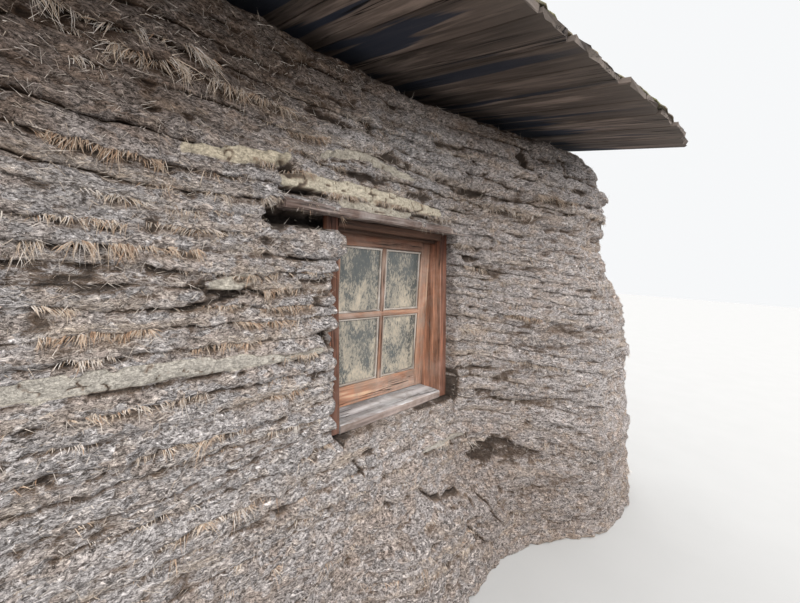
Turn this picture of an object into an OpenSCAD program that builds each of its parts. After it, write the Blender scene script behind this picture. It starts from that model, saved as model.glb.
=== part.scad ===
// Prairie sod house: battered walls of laid turf courses under a low plank and sod roof.
// Millimetres, +X along the front wall, -Y the front, +Z up, origin on the ground at the middle.

/* [Walls] */
// Length over the gable walls, measured at the wall top
house_l = 6900; // [6700:50:8000]
// Depth over the front and back walls, measured at the wall top
house_w = 4820; // [4400:20:5600]
// Height of the sod walls
wall_h = 2250; // [2150:10:2500]
// Thickness of every wall at its top
wall_t = 630; // [500:10:750]
// Outward lean of the outer faces, in mm for each mm of height
batter = 0.073; // [0.03:0.001:0.1]

/* [Sod courses] */
// Height of one course of sods
course_h = 70; // [60:1:110]
// How far the belly of a course stands out of its joints
course_relief = 18; // [6:1:24]
// How far a course line wanders up and down
course_wave = 22; // [0:1:28]
// Spread of the wall foot at the ground
foot_flare = 140; // [60:5:220]
// Height over which the foot spreads
foot_h = 900; // [500:20:1200]
// How far the weathered front corners bulge outward
front_slump = 530; // [200:10:560]
// How far the back corners bulge outward
back_slump = 260; // [100:10:400]
// How far the front corner courses sag
slump_drop = 110; // [0:5:140]
// Plan radius of the corners before they bulge
corner_r = 150; // [80:10:300]
// Depth of the toe of slipped sods at the foot beside each window
toe_d = 130; // [0:5:200]
// Height of that toe
toe_h = 420; // [200:10:600]

/* [Windows] */
// Distance of each window's middle from the house middle
window_x = 2185; // [2000:5:2185]
// Width of the sash
sash_w = 670; // [500:5:700]
// Height of the sash
sash_h = 790; // [600:5:850]
// Height of the sash foot over the ground
sash_z = 850; // [700:10:950]
// Thickness of the sash
sash_t = 35; // [25:1:45]
// Width of the sash stiles and top rail
stile_w = 65; // [40:1:80]
// Height of the bottom rail
bottom_rail_h = 92; // [60:1:110]
// Width of the glazing bars
bar_w = 26; // [16:1:34]
// Setback of the sash behind the front edge of its frame at the foot
sash_setback = 130; // [110:5:200]
// Thickness of the glass
glass_t = 3; // [2:0.5:5]
// Thickness of the jamb and head planks
frame_t = 55; // [40:1:70]
// Depth of the plank frame into the wall
frame_d = 270; // [220:5:350]
// Thickness of the sill plank
sill_t = 48; // [35:1:60]
// Gap between a frame and the sods beside it
frame_gap = 10; // [4:1:20]

/* [Lintels] */
// Thickness of the window lintel planks
lintel_t = 30; // [25:1:60]
// Thickness of the door lintel planks
door_lintel_t = 40; // [30:1:60]
// How far a lintel runs onto the sods at each end
lintel_bearing = 205; // [120:5:240]
// How far the front plank stands out of the wall face
lintel_nose = 30; // [0:2:60]
// Gap between neighbouring lintel planks
plank_gap = 6; // [2:1:12]

/* [Door] */
// Width of the door leaf
door_w = 760; // [650:10:850]
// Height of the door leaf
door_h = 1760; // [1650:10:1800]
// Thickness of the door planks
door_t = 32; // [22:1:45]
// Thickness of the threshold plank
threshold_t = 45; // [30:1:60]
// Running gap round the leaf
door_gap = 4; // [2:1:8]

/* [Roof] */
// Slope of the roof in degrees
pitch = 7.2; // [6.5:0.1:10]
// Height of the plank underside above the wall top, at the outer wall face
roof_lift = 100; // [90:5:200]
// Overhang of the eaves past the wall top at the middle of the house
eave_mid = 670; // [550:10:900]
// Further overhang of the eaves at the two verges
eave_end = 240; // [0:10:300]
// Overhang of the verges past the gable wall top
verge = 100; // [40:5:250]
// Thickness of the roof planks
board_t = 24; // [18:1:40]
// Width of one roof plank
board_w = 186; // [140:2:260]
// How far the plank ends differ in length
ragged = 34; // [0:2:50]
// Thickness of the roof sod
roof_sod_t = 55; // [40:1:90]
// Height of the lumps in the roof sod
roof_lump = 26; // [0:1:34]
// Setback of the roof sod from the plank ends
sod_setback = 45; // [20:5:90]
// Radius of the ridge log
ridge_r = 110; // [90:1:140]
// Radius of the two purlin logs
purlin_r = 75; // [60:1:95]
// How far the log ends stand out of the gable sods
log_nose = 60; // [0:5:80]

/* [Hidden] */

seat = 0.3;                             // clearance where a round log lies on its seat
x_top = house_l / 2;                    // outer faces at the wall top
y_top = house_w / 2;
x_in = x_top - wall_t;                  // inner faces
y_in = y_top - wall_t;
n_course = round(wall_h / course_h);    // courses from the ground to the wall top
course = wall_h / n_course;             // height of one of them
row_room = 0.4 * course + 0.3 * slump_drop;     // kept clear of course lines at a level cut
wall_step = 600;                        // spacing of the stations along a straight wall
window_step = 300;                      // and over and under a window

// Levels
head_z = sash_z + sash_h + frame_t - 20;        // underside of the window lintel
apron_z = sash_z - sill_t - 2;                  // top of the sods below a window
door_head_z = threshold_t + door_gap + door_h + door_gap + frame_t;

// Openings in the sod
opening_half = sash_w / 2 + frame_t + frame_gap;
opening_in = window_x - opening_half;           // window side nearer the door
opening_out = window_x + opening_half;          // window side nearer the corner
door_half = door_w / 2 + door_gap + frame_t + frame_gap;

// The lean of the outer face at height z, and the plane of the joinery in it
function lean(z) = batter * (wall_h - z) + foot_flare * pow(max(0, 1 - z / foot_h), 2);
frame_y_foot = -(y_top + batter * (wall_h - sash_z) - 40);
frame_y_head = frame_y_foot + batter * sash_h;
sash_y = frame_y_foot + sash_setback;
frame_y_back = frame_y_foot + frame_d;

// Roof planes
roof_rise = tan(pitch);
ridge_z = wall_h + roof_lift + roof_rise * y_top;      // underside of the planks at the ridge
function under_roof(y) = ridge_z - roof_rise * abs(y);
verge_x = x_top + verge;

// Logs: the wall plate fills the height between the wall top and the planks
plate_y = y_top - 0.4 * wall_t;
plate_r = (under_roof(plate_y) - wall_h - 2 * seat) / (1 + 1 / cos(pitch));
plate_z = wall_h + seat + plate_r;
purlin_y = y_in * 0.6;
function log_z(y, r) = under_roof(y) - (r + seat) / cos(pitch);

// A smooth step from 0 to 1
function ramp(v) = v <= 0 ? 0 : v >= 1 ? 1 : v * v * (3 - 2 * v);

// The slump: an outward bulge of the corners, least at the wall head and most at half height
function slump_share(z) = 0.62 + 0.2 * ramp((wall_h - z) / 250) + 0.28 * ramp((head_z - z) / 500)
    - 0.16 * ramp((600 - z) / 600);
function slump_start(z) = opening_out - 560 * ramp((z - head_z) / 500);
function slump_front(x, z) = slump_share(z) * ramp((abs(x) - slump_start(z)) / (x_top - slump_start(z)));
function slump_side(y) = ramp((abs(y) - 0.3 * y_in) / (y_top - 0.3 * y_in));
function slump_size(y) = y < 0 ? front_slump : back_slump;

// The toe of slipped sods along the foot from the window to the corner
function toe(x, y, z) = y > 0 ? 0 : toe_d * ramp((abs(x) - opening_in) / 300)
    * (1 - ramp((abs(x) - opening_out) / 500)) * ramp((toe_h - z) / 130);

// Rounded courses: proud at the belly, back at the joint, each a little different along the wall
function relief(k, u) = course_relief * (k % 1 == 0 ? -0.5 : 0.5 + 0.5 * sin(u / 5.1 + 131 * k));
function wave(k, u) = course_wave * (sin(u / 14 + 47 * k) + 0.6 * sin(u / 6.3 - 83 * k)) / 1.6;
function edge_fade(z) = ramp(z / 260) * ramp((wall_h - z) / 200);

// Height of row k (whole numbers are joints, halves are bellies) at a place along the wall
function sag(x, y, z) = slump_drop * slump_front(x, z) * ramp(-y / y_top);
function row_z(k, u, x, y) =
    let (z = k * course, f = edge_fade(z))
    z + f * wave(floor(k), u) * 0.5 - f * sag(x, y, z);

// A station is [x, y, nx, ny, u]: a point of the plan at the wall top, its outward normal and the
// distance u along the wall that its courses vary with
function front_station(x) = [x, -y_top, 0, -1, x];
function back_station(x) = [x, y_top, 0, 1, 20000 - x];
function side_station(sx, y) = [sx * x_top, y, sx, 0, 10000 * sx + y];

// Outward offsets of the two faces that meet at a station
function face_y(x, y, z) = lean(z) + slump_size(y) * slump_front(x, z) + toe(x, y, z);
function face_x(y, z) = lean(z) + slump_size(y) * slump_share(z) * slump_side(y);

// Point of the skin over a straight station, at row k; an even row lies level
function skin_point(s, k, even = false) =
    let (z = even ? k * course : row_z(k, s[4], s[0], s[1]), q = relief(even ? 0 : k, s[4]),
        off = s[2] == 0 ? face_y(s[0], s[1], z) : face_x(s[1], z))
    [s[0] + s[2] * (off + q), s[1] + s[3] * (off + q), z];

// Point of the skin on the corner arc: a = 0 faces the gable, 90 faces the front or the back
function corner_point(sx, sy, a, k) =
    let (u = 10000 * sx + sy * (y_top + 5 * a), x = sx * x_top, y = sy * y_top,
        z = row_z(k, u, x, y), q = relief(k, u),
        c = pow(cos(a), 0.45), s = a == 0 ? 0 : pow(sin(a), 0.45))
    [sx * (x_top - corner_r + (corner_r + face_x(y, z) + q) * (a == 90 ? 0 : c)),
        sy * (y_top - corner_r + (corner_r + face_y(x, y, z) + q) * s), z];

// Even spacing from a to b, about wall_step apart
function spread(a, b, step = wall_step) =
    let (n = max(1, ceil(abs(b - a) / step)))
    [for (i = [0:n]) a + (b - a) * i / n];

// Rows between two cuts, kept clear of both
function rows(z0, z1) = [for (k = [0:0.5:n_course])
    if (k * course > z0 + row_room && k * course < z1 - row_room) k];

// The cuts of a block are the heights of its foot, of the underside and the top of each lintel slot
// in it, and of its head. Rows of courses lie only outside the slots, so below every odd cut.
function row_list(cuts) = concat([cuts[0] / course], [for (c = [1:len(cuts) - 1]) each concat(
    c % 2 == 1 ? rows(cuts[c - 1], cuts[c]) : [], [cuts[c] / course])]);
function cut_row(cuts, c) = c == 0 ? 0
    : cut_row(cuts, c - 1) + 1 + (c % 2 == 1 ? len(rows(cuts[c - 1], cuts[c])) : 0);
function has(list, v) = len([for (item = list) if (item == v) item]) > 0;

// A column of skin points over a station, level at its foot and head and at the cuts in held
function column(s, cuts = [0, wall_h], held = []) =
    let (ks = row_list(cuts), level = [for (c = concat([0, len(cuts) - 1], held)) cut_row(cuts, c)])
    [for (j = [0:len(ks) - 1]) skin_point(s, ks[j], has(level, j))];

// A wall block: columns of skin points from left to right as seen from outside, or from right to
// left if turned, closed by upright edges on its inner side. Column i meets edge i, or the last one.
// slots are the lintel slots through the block: [first column, last column, cut at the underside].
module sod_block(columns, inner, cuts = [0, wall_h], slots = [], turned = false) {
    m = len(columns) - 1;
    n = len(columns[0]) - 1;
    last = len(inner) - 1;
    levels = len(cuts);
    ks = row_list(cuts);
    at = [for (c = [0:levels - 1]) cut_row(cuts, c)];
    function skin(i, j) = i * (n + 1) + j;
    function edge(i, c) = (m + 1) * (n + 1) + min(i, last) * levels + c;
    function slotted(i, c) = len([for (s = slots) if (i >= s[0] && i < s[1] && c == s[2]) 1]) > 0;
    function opened(i, c) = len([for (s = slots) if ((i == s[0] || i == s[1]) && c == s[2]) 1]) > 0;
    function back_to_front(faces) = [for (f = faces) [for (j = [len(f) - 1:-1:0]) f[j]]];
    // The face across the block at column i between cuts c and c + 1, seen from the left: an ear
    // for each belly, and two fans from the inner edge to the joints
    function across(i, c) =
        let (joints = [for (j = [at[c]:at[c + 1]]) if (j == at[c] || j == at[c + 1] || ks[j] % 1 != 0.5) j],
            half = floor(len(joints) / 2))
        concat([[edge(i, c), edge(i, c + 1), skin(i, joints[half])]],
            [for (q = [0:len(joints) - 2])
                [edge(i, q < half ? c : c + 1), skin(i, joints[q + 1]), skin(i, joints[q])]],
            [for (j = [at[c] + 1:1:at[c + 1] - 1]) if (ks[j] % 1 == 0.5)
                [skin(i, j + 1), skin(i, j), skin(i, j - 1)]]);
    // The level faces between columns i and i + 1 at cut c, seen from above
    function level_up(i, c) = concat([[skin(i, at[c]), edge(i, c), skin(i + 1, at[c])]],
        i < last ? [[edge(i, c), edge(i + 1, c), skin(i + 1, at[c])]] : []);
    function level_down(i, c) = back_to_front(level_up(i, c));
    outer = [for (i = [0:m - 1], c = [0:levels - 2]) if (!slotted(i, c)) for (j = [at[c]:at[c + 1] - 1])
        each [[skin(i, j), skin(i, j + 1), skin(i + 1, j + 1)], [skin(i, j), skin(i + 1, j + 1), skin(i + 1, j)]]];
    back = [for (i = [0:1:min(last, m) - 1], c = [0:levels - 2]) if (!slotted(i, c))
        each [[edge(i + 1, c), edge(i + 1, c + 1), edge(i, c + 1)], [edge(i + 1, c), edge(i, c + 1), edge(i, c)]]];
    caps = [for (i = [0:m - 1]) each concat(level_up(i, levels - 1), level_down(i, 0))];
    sides = [for (c = [0:levels - 2]) each concat(opened(0, c) ? [] : across(0, c),
        opened(m, c) ? [] : back_to_front(across(m, c)))];
    slot_sides = [for (s = slots) for (i = [s[0]:s[1] - 1])
        each concat(level_up(i, s[2]), level_down(i, s[2] + 1))];
    slot_ends = [for (s = slots) each s[0] == 0 ? across(s[1], s[2]) : back_to_front(across(s[0], s[2]))];
    faces = concat(outer, back, caps, sides, slot_sides, slot_ends);
    polyhedron(concat([for (c = columns) each c], [for (p = inner) for (z = cuts) [p[0], p[1], z]]),
        turned ? back_to_front(faces) : faces, convexity = 8);
}

// Straight block of the front wall from x0 to x1 and z0 to z1
module front_block(x0, x1, z0 = 0, z1 = wall_h, step = wall_step) {
    xs = spread(x0, x1, step);
    sod_block([for (x = xs) column(front_station(x), [z0, z1])], [for (x = xs) [x, -y_in]], [z0, z1]);
}

// Corner block, from its cut beside the front or back wall to its cut beside the gable wall. A
// window lintel may end in a slot of the given length.
module corner_block(sx, sy, x_cut, slot = 0) {
    cuts = slot > 0 ? [0, head_z, head_z + lintel_t, wall_h] : [0, wall_h];
    near = slot > 0 ? [x_cut, x_cut + slot] : [x_cut];
    far = spread(x_cut + slot, x_top - corner_r, 280);
    function run(x, held) = column(sy < 0 ? front_station(sx * x) : back_station(sx * x), cuts, held);
    straight = concat([for (x = near) run(x, slot > 0 ? [1, 2] : [])],
        [for (i = [1:len(far) - 1]) run(far[i], [])]);
    arc = [for (a = [65, 42, 20]) [for (k = row_list(cuts)) corner_point(sx, sy, a, k)]];
    side = [for (y = spread(y_top - corner_r, y_in, 300)) column(side_station(sx, sy * y), cuts)];
    sod_block(concat(straight, arc, side), [for (x = near) [sx * x, sy * y_in]], cuts,
        slot > 0 ? [[0, 1, 1]] : [], sx * sy > 0);
}

module gable_block(sx) {
    ys = spread(-sx * y_in, sx * y_in);
    sod_block([for (y = ys) column(side_station(sx, y))], [for (y = ys) [sx * x_in, y]]);
}

lintel_y = -(y_top + lean(head_z) + lintel_nose);       // front edge of a window lintel
door_lintel_y = -(y_top + lean(door_head_z) + lintel_nose);

module sod() color([0.36, 0.31, 0.27]) children();

module front_corner(sx) sod() corner_block(sx, -1, opening_out, lintel_bearing);

// Pier between the door and a window, with a slot at each side for the end of a lintel
module pier(sx) {
    run = concat([door_half], spread(door_half + lintel_bearing, opening_in - lintel_bearing), [opening_in]);
    m = len(run) - 1;
    cuts = [0, head_z, head_z + lintel_t, door_head_z, door_head_z + door_lintel_t, wall_h];
    held = [for (i = [0:m]) i < 2 ? [3, 4] : i > m - 2 ? [1, 2] : []];
    sod() sod_block([for (i = [0:m]) column(front_station(sx * run[i]), cuts, held[i])],
        [for (x = run) [sx * x, -y_in]], cuts, [[0, 1, 3], [m - 1, m, 1]], sx < 0);
}

// Sods of one window's width, between two heights
module window_block(sx, z0, z1) {
    a = sx * window_x - opening_half;
    sod() front_block(a, a + 2 * opening_half, z0, z1, window_step);
}

module left_front_corner() front_corner(-1);
module right_front_corner() front_corner(1);
module left_pier() pier(-1);
module right_pier() pier(1);
module left_window_apron() window_block(-1, 0, apron_z);
module right_window_apron() window_block(1, 0, apron_z);
module left_window_head() window_block(-1, head_z + lintel_t, wall_h);
module right_window_head() window_block(1, head_z + lintel_t, wall_h);
module door_head_sods()
    sod() front_block(-door_half, door_half, door_head_z + door_lintel_t, wall_h);

module right_gable_wall() sod() gable_block(1);
module left_gable_wall() sod() gable_block(-1);
module right_back_corner() sod() corner_block(1, 1, x_in);
module left_back_corner() sod() corner_block(-1, 1, x_in);
module back_wall() {
    xs = spread(x_in, -x_in);
    sod() sod_block([for (x = xs) column(back_station(x))], [for (x = xs) [x, y_in]]);
}

// Turns a side profile drawn in (y, z) into a body of length l from x
module along_x(x, l) translate([x, 0, 0]) rotate([90, 0, 90]) linear_extrude(l) children();

// An open saddle for a log of radius r: round below, and clear above the log
module saddle(y, z, r)
    translate([y, z]) {
        circle(r + seat, $fn = 48);
        translate([-0.6 * r, 0]) square([1.2 * r, 2 * r]);
    }

// Sods over the gable walls, up to the roof planks, with saddles for the ridge log and the purlins
module gable_top(sx) {
    half = plate_y - plate_r - seat;
    sod() along_x(sx > 0 ? x_in : -x_top, wall_t) difference() {
        polygon([[-half, wall_h], [half, wall_h], [half, under_roof(half)], [0, ridge_z],
            [-half, under_roof(half)]]);
        saddle(0, log_z(0, ridge_r), ridge_r);
        for (sy = [-1, 1]) saddle(sy * purlin_y, log_z(purlin_y, purlin_r), purlin_r);
    }
}
module right_gable_top() gable_top(1);
module left_gable_top() gable_top(-1);

// Sods packed behind a wall plate, up to the roof planks
module eave_fill(sy) {
    outer = plate_y - 0.5 * plate_r;
    sod() along_x(-x_in, 2 * x_in) difference() {
        polygon([[sy * outer, wall_h], [sy * y_in, wall_h], [sy * y_in, under_roof(y_in)],
            [sy * outer, under_roof(outer)]]);
        translate([sy * plate_y, plate_z]) circle(plate_r + seat, $fn = 48);
    }
}
module front_eave_fill() eave_fill(-1);
module back_eave_fill() eave_fill(1);

// Round logs along the house
module roof_log(y, z, r, half)
    color([0.33, 0.25, 0.18]) translate([-half, y, z]) rotate([0, 90, 0]) cylinder(2 * half, r, r, $fn = 48);
module ridge_log() roof_log(0, log_z(0, ridge_r), ridge_r, x_top + log_nose);
module front_purlin() roof_log(-purlin_y, log_z(purlin_y, purlin_r), purlin_r, x_top + log_nose);
module back_purlin() roof_log(purlin_y, log_z(purlin_y, purlin_r), purlin_r, x_top + log_nose);
module front_wall_plate() roof_log(-plate_y, plate_z, plate_r, x_top + log_nose);
module back_wall_plate() roof_log(plate_y, plate_z, plate_r, x_top + log_nose);

// Distance of the eave from the ridge, in plan, at x: longer towards the verges
function eave_y(x) = y_top + eave_mid + eave_end * ramp((abs(x) - 0.5 * x_top) / (0.5 * x_top));

// Planks run from the ridge to the eave, and their ends are sawn to different lengths
n_board = round(2 * verge_x / board_w);
pitch_w = 2 * verge_x / n_board;
function plank_end(i) = eave_y(-verge_x + (i + 0.5) * pitch_w) - ragged * (0.5 + 0.5 * sin(i * 137 + 40));

// Lays children, drawn flat with the ridge at y = 0 and the eave towards -y, on one roof slope
module on_slope(sy)
    translate([0, 0, ridge_z]) rotate([0, 0, sy < 0 ? 0 : 180]) rotate([pitch, 0, 0]) children();

module roof_boards(sy)
    color([0.27, 0.21, 0.17]) on_slope(sy) linear_extrude(board_t)
        polygon(concat([[verge_x, 0], [-verge_x, 0]],
            [for (i = [0:n_board - 1]) for (e = [0, 1])
                [-verge_x + (i + e) * pitch_w, -plank_end(i) / cos(pitch)]]));
module front_roof_boards() roof_boards(-1);
module back_roof_boards() roof_boards(1);

// Roof sod: a lumpy blanket on the planks, thicker at the ridge and thin at its edges
sod_nx = 22;
sod_ny = 9;
function blanket(i, j) =
    let (edge = min(ramp(i / 2), ramp((sod_nx - i) / 2), ramp(j / 2)))
    0.45 * roof_sod_t + edge * (0.55 * roof_sod_t + roof_lump * (0.5 + 0.5 * sin(i * 97 + j * 61)))
        + (j == sod_ny ? roof_lump : 0);
module roof_sod(sy) {
    half = verge_x - sod_setback;
    reach = (y_top + eave_mid - ragged - sod_setback) / cos(pitch);
    n = sod_ny + 1;
    function px(i) = -half + 2 * half * i / sod_nx;
    // The foot of the blanket follows the eave; its top edge stands on the ridge plane
    function py(i, j) = -(1 - j / sod_ny) * (reach + (eave_y(px(i)) - eave_y(0)) / cos(pitch));
    function lift(i, j) = board_t + blanket(i, j);
    lean_back = sin(pitch) / cos(pitch);
    b = n * (sod_nx + 1);
    points = concat([for (i = [0:sod_nx]) for (j = [0:sod_ny])
            [px(i), j == sod_ny ? lift(i, j) * lean_back : py(i, j), lift(i, j)]],
        [for (i = [0:sod_nx]) each [[px(i), py(i, 0), board_t], [px(i), board_t * lean_back, board_t]]]);
    top = [for (i = [0:sod_nx - 1]) for (j = [0:sod_ny - 1])
        let (a = i * n + j) each [[a, a + 1, a + n + 1], [a, a + n + 1, a + n]]];
    under = [for (i = [0:sod_nx - 1])
        let (a = i * n, e = b + 2 * i, r = a + sod_ny)
        each [[e, e + 2, e + 3], [e, e + 3, e + 1], [e, a, a + n], [e, a + n, e + 2],
            [e + 1, e + 3, r + n], [e + 1, r + n, r]]];
    left = [for (j = [0:sod_ny - 1]) [b, j + 1, j]];
    last = b + 2 * sod_nx;
    right = [for (j = [0:sod_ny - 1]) [last, sod_nx * n + j, sod_nx * n + j + 1]];
    ends = [[b, b + 1, sod_ny], [last, sod_nx * n + sod_ny, last + 1]];
    color([0.34, 0.31, 0.24]) on_slope(sy)
        polyhedron(points, concat(top, under, left, right, ends), convexity = 6);
}
module front_roof_sod() roof_sod(-1);
module back_roof_sod() roof_sod(1);

module old_wood() color([0.42, 0.26, 0.18]) children();
module grey_wood() color([0.47, 0.43, 0.39]) children();

// Lintel planks laid side by side through the wall, from the front edge y0 to the inner face
module lintel(x, half, y0, z, t) {
    n = 3;
    w = (-y_in - y0 - (n - 1) * plank_gap) / n;
    color([0.24, 0.19, 0.16]) for (i = [0:n - 1])
        translate([x - half, y0 + i * (w + plank_gap), z]) cube([2 * half, w, t]);
}
module window_lintel(sx)
    lintel(sx * window_x, opening_half + lintel_bearing, lintel_y, head_z, lintel_t);
module left_window_lintel() window_lintel(-1);
module right_window_lintel() window_lintel(1);
module door_lintel() lintel(0, door_half + lintel_bearing, door_lintel_y, door_head_z, door_lintel_t);

// Plank frame: two jambs with leaning front edges and a head, standing on the apron sods
module jamb(x, z0, z1)
    along_x(x, frame_t) polygon([[frame_y_foot, z0], [frame_y_head, z1], [frame_y_back, z1],
        [frame_y_back, z0]]);
module window_frame(sx) {
    x = sx * window_x;
    sash_top = sash_z + sash_h;
    old_wood() union() {
        jamb(x - sash_w / 2 - frame_t, apron_z, head_z);
        jamb(x + sash_w / 2, apron_z, head_z);
        translate([x - sash_w / 2, frame_y_head, sash_top])
            cube([sash_w, frame_y_back - frame_y_head, head_z - sash_top]);
    }
}
module left_window_frame() window_frame(-1);
module right_window_frame() window_frame(1);

// Sill plank between the jambs: level under the sash and falling to its front edge
sill_fall = 8;
module window_sill(sx)
    grey_wood() along_x(sx * window_x - sash_w / 2, sash_w)
        polygon([[frame_y_foot, apron_z], [frame_y_foot, sash_z - sill_fall], [sash_y, sash_z],
            [frame_y_back, sash_z], [frame_y_back, apron_z]]);
module left_window_sill() window_sill(-1);
module right_window_sill() window_sill(1);

sash_play = 2;                              // gap between the sash and each jamb
glass_half = sash_w / 2 - sash_play - stile_w;      // half width of the glazed opening
glass_z0 = sash_z + bottom_rail_h;
glass_z1 = sash_z + sash_h - stile_w;
glass_zm = (glass_z0 + glass_z1) / 2 + 4;   // the upper lights are a little lower than the lower ones

// The four lights between the rails, stiles and glazing bars, each t deep from y
module lights(x, y, t)
    for (sx = [-1, 1], up = [0, 1])
        let (z0 = up == 0 ? glass_z0 : glass_zm + bar_w / 2, z1 = up == 0 ? glass_zm - bar_w / 2 : glass_z1,
            x0 = sx < 0 ? x - glass_half : x + bar_w / 2)
        translate([x0, y, z0]) cube([glass_half - bar_w / 2, t, z1 - z0]);
module window_sash(sx)
    old_wood() difference() {
        translate([sx * window_x - sash_w / 2 + sash_play, sash_y, sash_z])
            cube([sash_w - 2 * sash_play, sash_t, sash_h - sash_play]);
        lights(sx * window_x, sash_y - 1, sash_t + 2);
    }
module left_window_sash() window_sash(-1);
module right_window_sash() window_sash(1);
module window_glass(sx)
    color([0.55, 0.62, 0.63, 0.45]) lights(sx * window_x, sash_y + sash_t / 2, glass_t);
module left_window_glass() window_glass(-1);
module right_window_glass() window_glass(1);

// Door: plank frame on a threshold, and a ledged leaf of upright boards
module door_threshold()
    grey_wood() translate([-door_half + frame_gap, frame_y_foot, 0])
        cube([2 * (door_half - frame_gap), frame_d, threshold_t]);
module door_frame() {
    inner = door_w / 2 + door_gap;
    top = door_head_z - frame_t;
    old_wood() union() {
        jamb(-inner - frame_t, threshold_t, door_head_z);
        jamb(inner, threshold_t, door_head_z);
        translate([-inner, frame_y_head, top])
            cube([2 * inner, frame_y_back - frame_y_head, frame_t]);
    }
}
ledge_h = 130;
ledge_t = 26;
module door_leaf() {
    z0 = threshold_t;
    old_wood() union() {
        translate([-door_w / 2, sash_y, z0]) cube([door_w, door_t, door_h]);
        for (z = [0.09, 0.47, 0.84])
            translate([-door_w / 2 + 40, sash_y + door_t, z0 + z * door_h])
                cube([door_w - 80, ledge_t, ledge_h]);
    }
}

left_front_corner();
left_window_apron();
left_window_head();
left_pier();
door_head_sods();
right_pier();
right_window_apron();
right_window_head();
right_front_corner();
right_gable_wall();
right_back_corner();
back_wall();
left_back_corner();
left_gable_wall();
right_gable_top();
left_gable_top();
front_eave_fill();
back_eave_fill();
ridge_log();
front_purlin();
back_purlin();
front_wall_plate();
back_wall_plate();
front_roof_boards();
back_roof_boards();
front_roof_sod();
back_roof_sod();
left_window_lintel();
left_window_frame();
left_window_sill();
left_window_sash();
left_window_glass();
right_window_lintel();
right_window_frame();
right_window_sill();
right_window_sash();
right_window_glass();
door_lintel();
door_frame();
door_leaf();
door_threshold();
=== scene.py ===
"""Looks of the prairie sod house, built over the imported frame. Metres, the front towards -Y."""
import math
from functools import cache

import bpy
import numpy as np
from bpy.props import FloatProperty, FloatVectorProperty, IntProperty, PointerProperty
from mathutils import Matrix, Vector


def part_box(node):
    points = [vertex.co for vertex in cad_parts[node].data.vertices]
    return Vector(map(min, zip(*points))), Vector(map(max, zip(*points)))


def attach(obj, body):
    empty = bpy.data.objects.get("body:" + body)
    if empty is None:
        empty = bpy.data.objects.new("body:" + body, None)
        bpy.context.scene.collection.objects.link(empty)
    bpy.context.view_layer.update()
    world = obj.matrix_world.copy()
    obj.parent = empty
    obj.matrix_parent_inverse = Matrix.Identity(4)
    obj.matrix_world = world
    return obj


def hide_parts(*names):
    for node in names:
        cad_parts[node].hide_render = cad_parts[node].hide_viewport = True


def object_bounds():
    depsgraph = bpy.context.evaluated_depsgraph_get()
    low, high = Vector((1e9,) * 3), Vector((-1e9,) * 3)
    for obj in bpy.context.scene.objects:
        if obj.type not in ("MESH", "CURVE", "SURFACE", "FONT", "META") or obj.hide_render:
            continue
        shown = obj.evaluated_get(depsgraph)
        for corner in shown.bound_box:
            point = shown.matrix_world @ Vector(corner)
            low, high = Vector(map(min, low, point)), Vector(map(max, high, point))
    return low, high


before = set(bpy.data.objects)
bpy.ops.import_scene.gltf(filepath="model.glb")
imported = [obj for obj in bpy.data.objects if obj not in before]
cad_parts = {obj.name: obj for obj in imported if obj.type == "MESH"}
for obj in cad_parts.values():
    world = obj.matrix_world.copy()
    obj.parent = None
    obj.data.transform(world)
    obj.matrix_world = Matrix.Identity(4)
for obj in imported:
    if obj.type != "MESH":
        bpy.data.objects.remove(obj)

bl_info = {
    "name": "Prairie sod house",
    "version": (1, 0, 0),
    "blender": (4, 5, 0),
    "location": "View3D > Sidebar > Sod house",
    "description": "Dresses the frame of a sod house: turf courses, straw, plank roof, window and door",
    "category": "Add Mesh",
}

CAD_BOX = [list(corner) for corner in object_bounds()]


def span(node):
    """Lowest and highest corner of a node of the frame."""
    low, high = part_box(node)
    return np.array(low), np.array(high)


# Places that the frame gives
WALL_H = float(span("back_wall")[1][2])
X_IN = float(span("right_gable_wall")[0][0])
X_TOP = float(span("right_gable_top")[1][0])
Y_IN = float(span("back_wall")[0][1])
Y_TOP = Y_IN + X_TOP - X_IN
DOOR_HALF = float(span("right_pier")[0][0])
OPEN_IN, OPEN_OUT = float(span("right_window_apron")[0][0]), float(span("right_window_apron")[1][0])
APRON_Z = float(span("right_window_apron")[1][2])
HEAD_Z, LINTEL_TOP = float(span("right_window_lintel")[0][2]), float(span("right_window_lintel")[1][2])
BEARING = OPEN_IN - float(span("right_window_lintel")[0][0])
DOOR_LINTEL_TOP = float(span("door_lintel")[1][2])
RIGHT, LEFT, INWARD, UP, DOWN = (1, 0, 0), (-1, 0, 0), (0, 1, 0), (0, 0, 1), (0, 0, -1)

# Form of the wall faces, as in the frame: radius and squareness of the corners, flare of the foot and
# its height, how far the corners bulge and how far their courses sag, depth and height of the toe
# under a window, and lengths of the front and the back corners
CORNER_R, CORNER_POWER = 0.15, 2 / 0.45
FOOT_FLARE, FOOT_H = 0.14, 0.9
FRONT_SLUMP, BACK_SLUMP, SLUMP_DROP = 0.53, 0.26, 0.11
TOE_D, TOE_H = 0.13, 0.42
ARC_FRONT, ARC_BACK = 1.15, 0.8
# Places along the wall: where the right front corner begins and ends, where the right back one begins
# and ends, and the middle of the back
S1 = X_TOP - CORNER_R
S2 = S1 + ARC_FRONT
S3 = S2 + 2 * (Y_TOP - CORNER_R)
S4 = S3 + ARC_BACK
S5 = S4 + X_TOP - CORNER_R

# Heights of the course lines: whole courses to the window aprons, to the lintel tops and to the head
LEVELS = np.concatenate([np.linspace(0, APRON_Z, 14)[:-1], np.linspace(APRON_Z, LINTEL_TOP, 16)[:-1],
                         np.linspace(LINTEL_TOP, WALL_H, 10)])
APRON_LINE, LINTEL_LINE, DOOR_LINE, TOP_LINE = 13, 28, 31, 37


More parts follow.
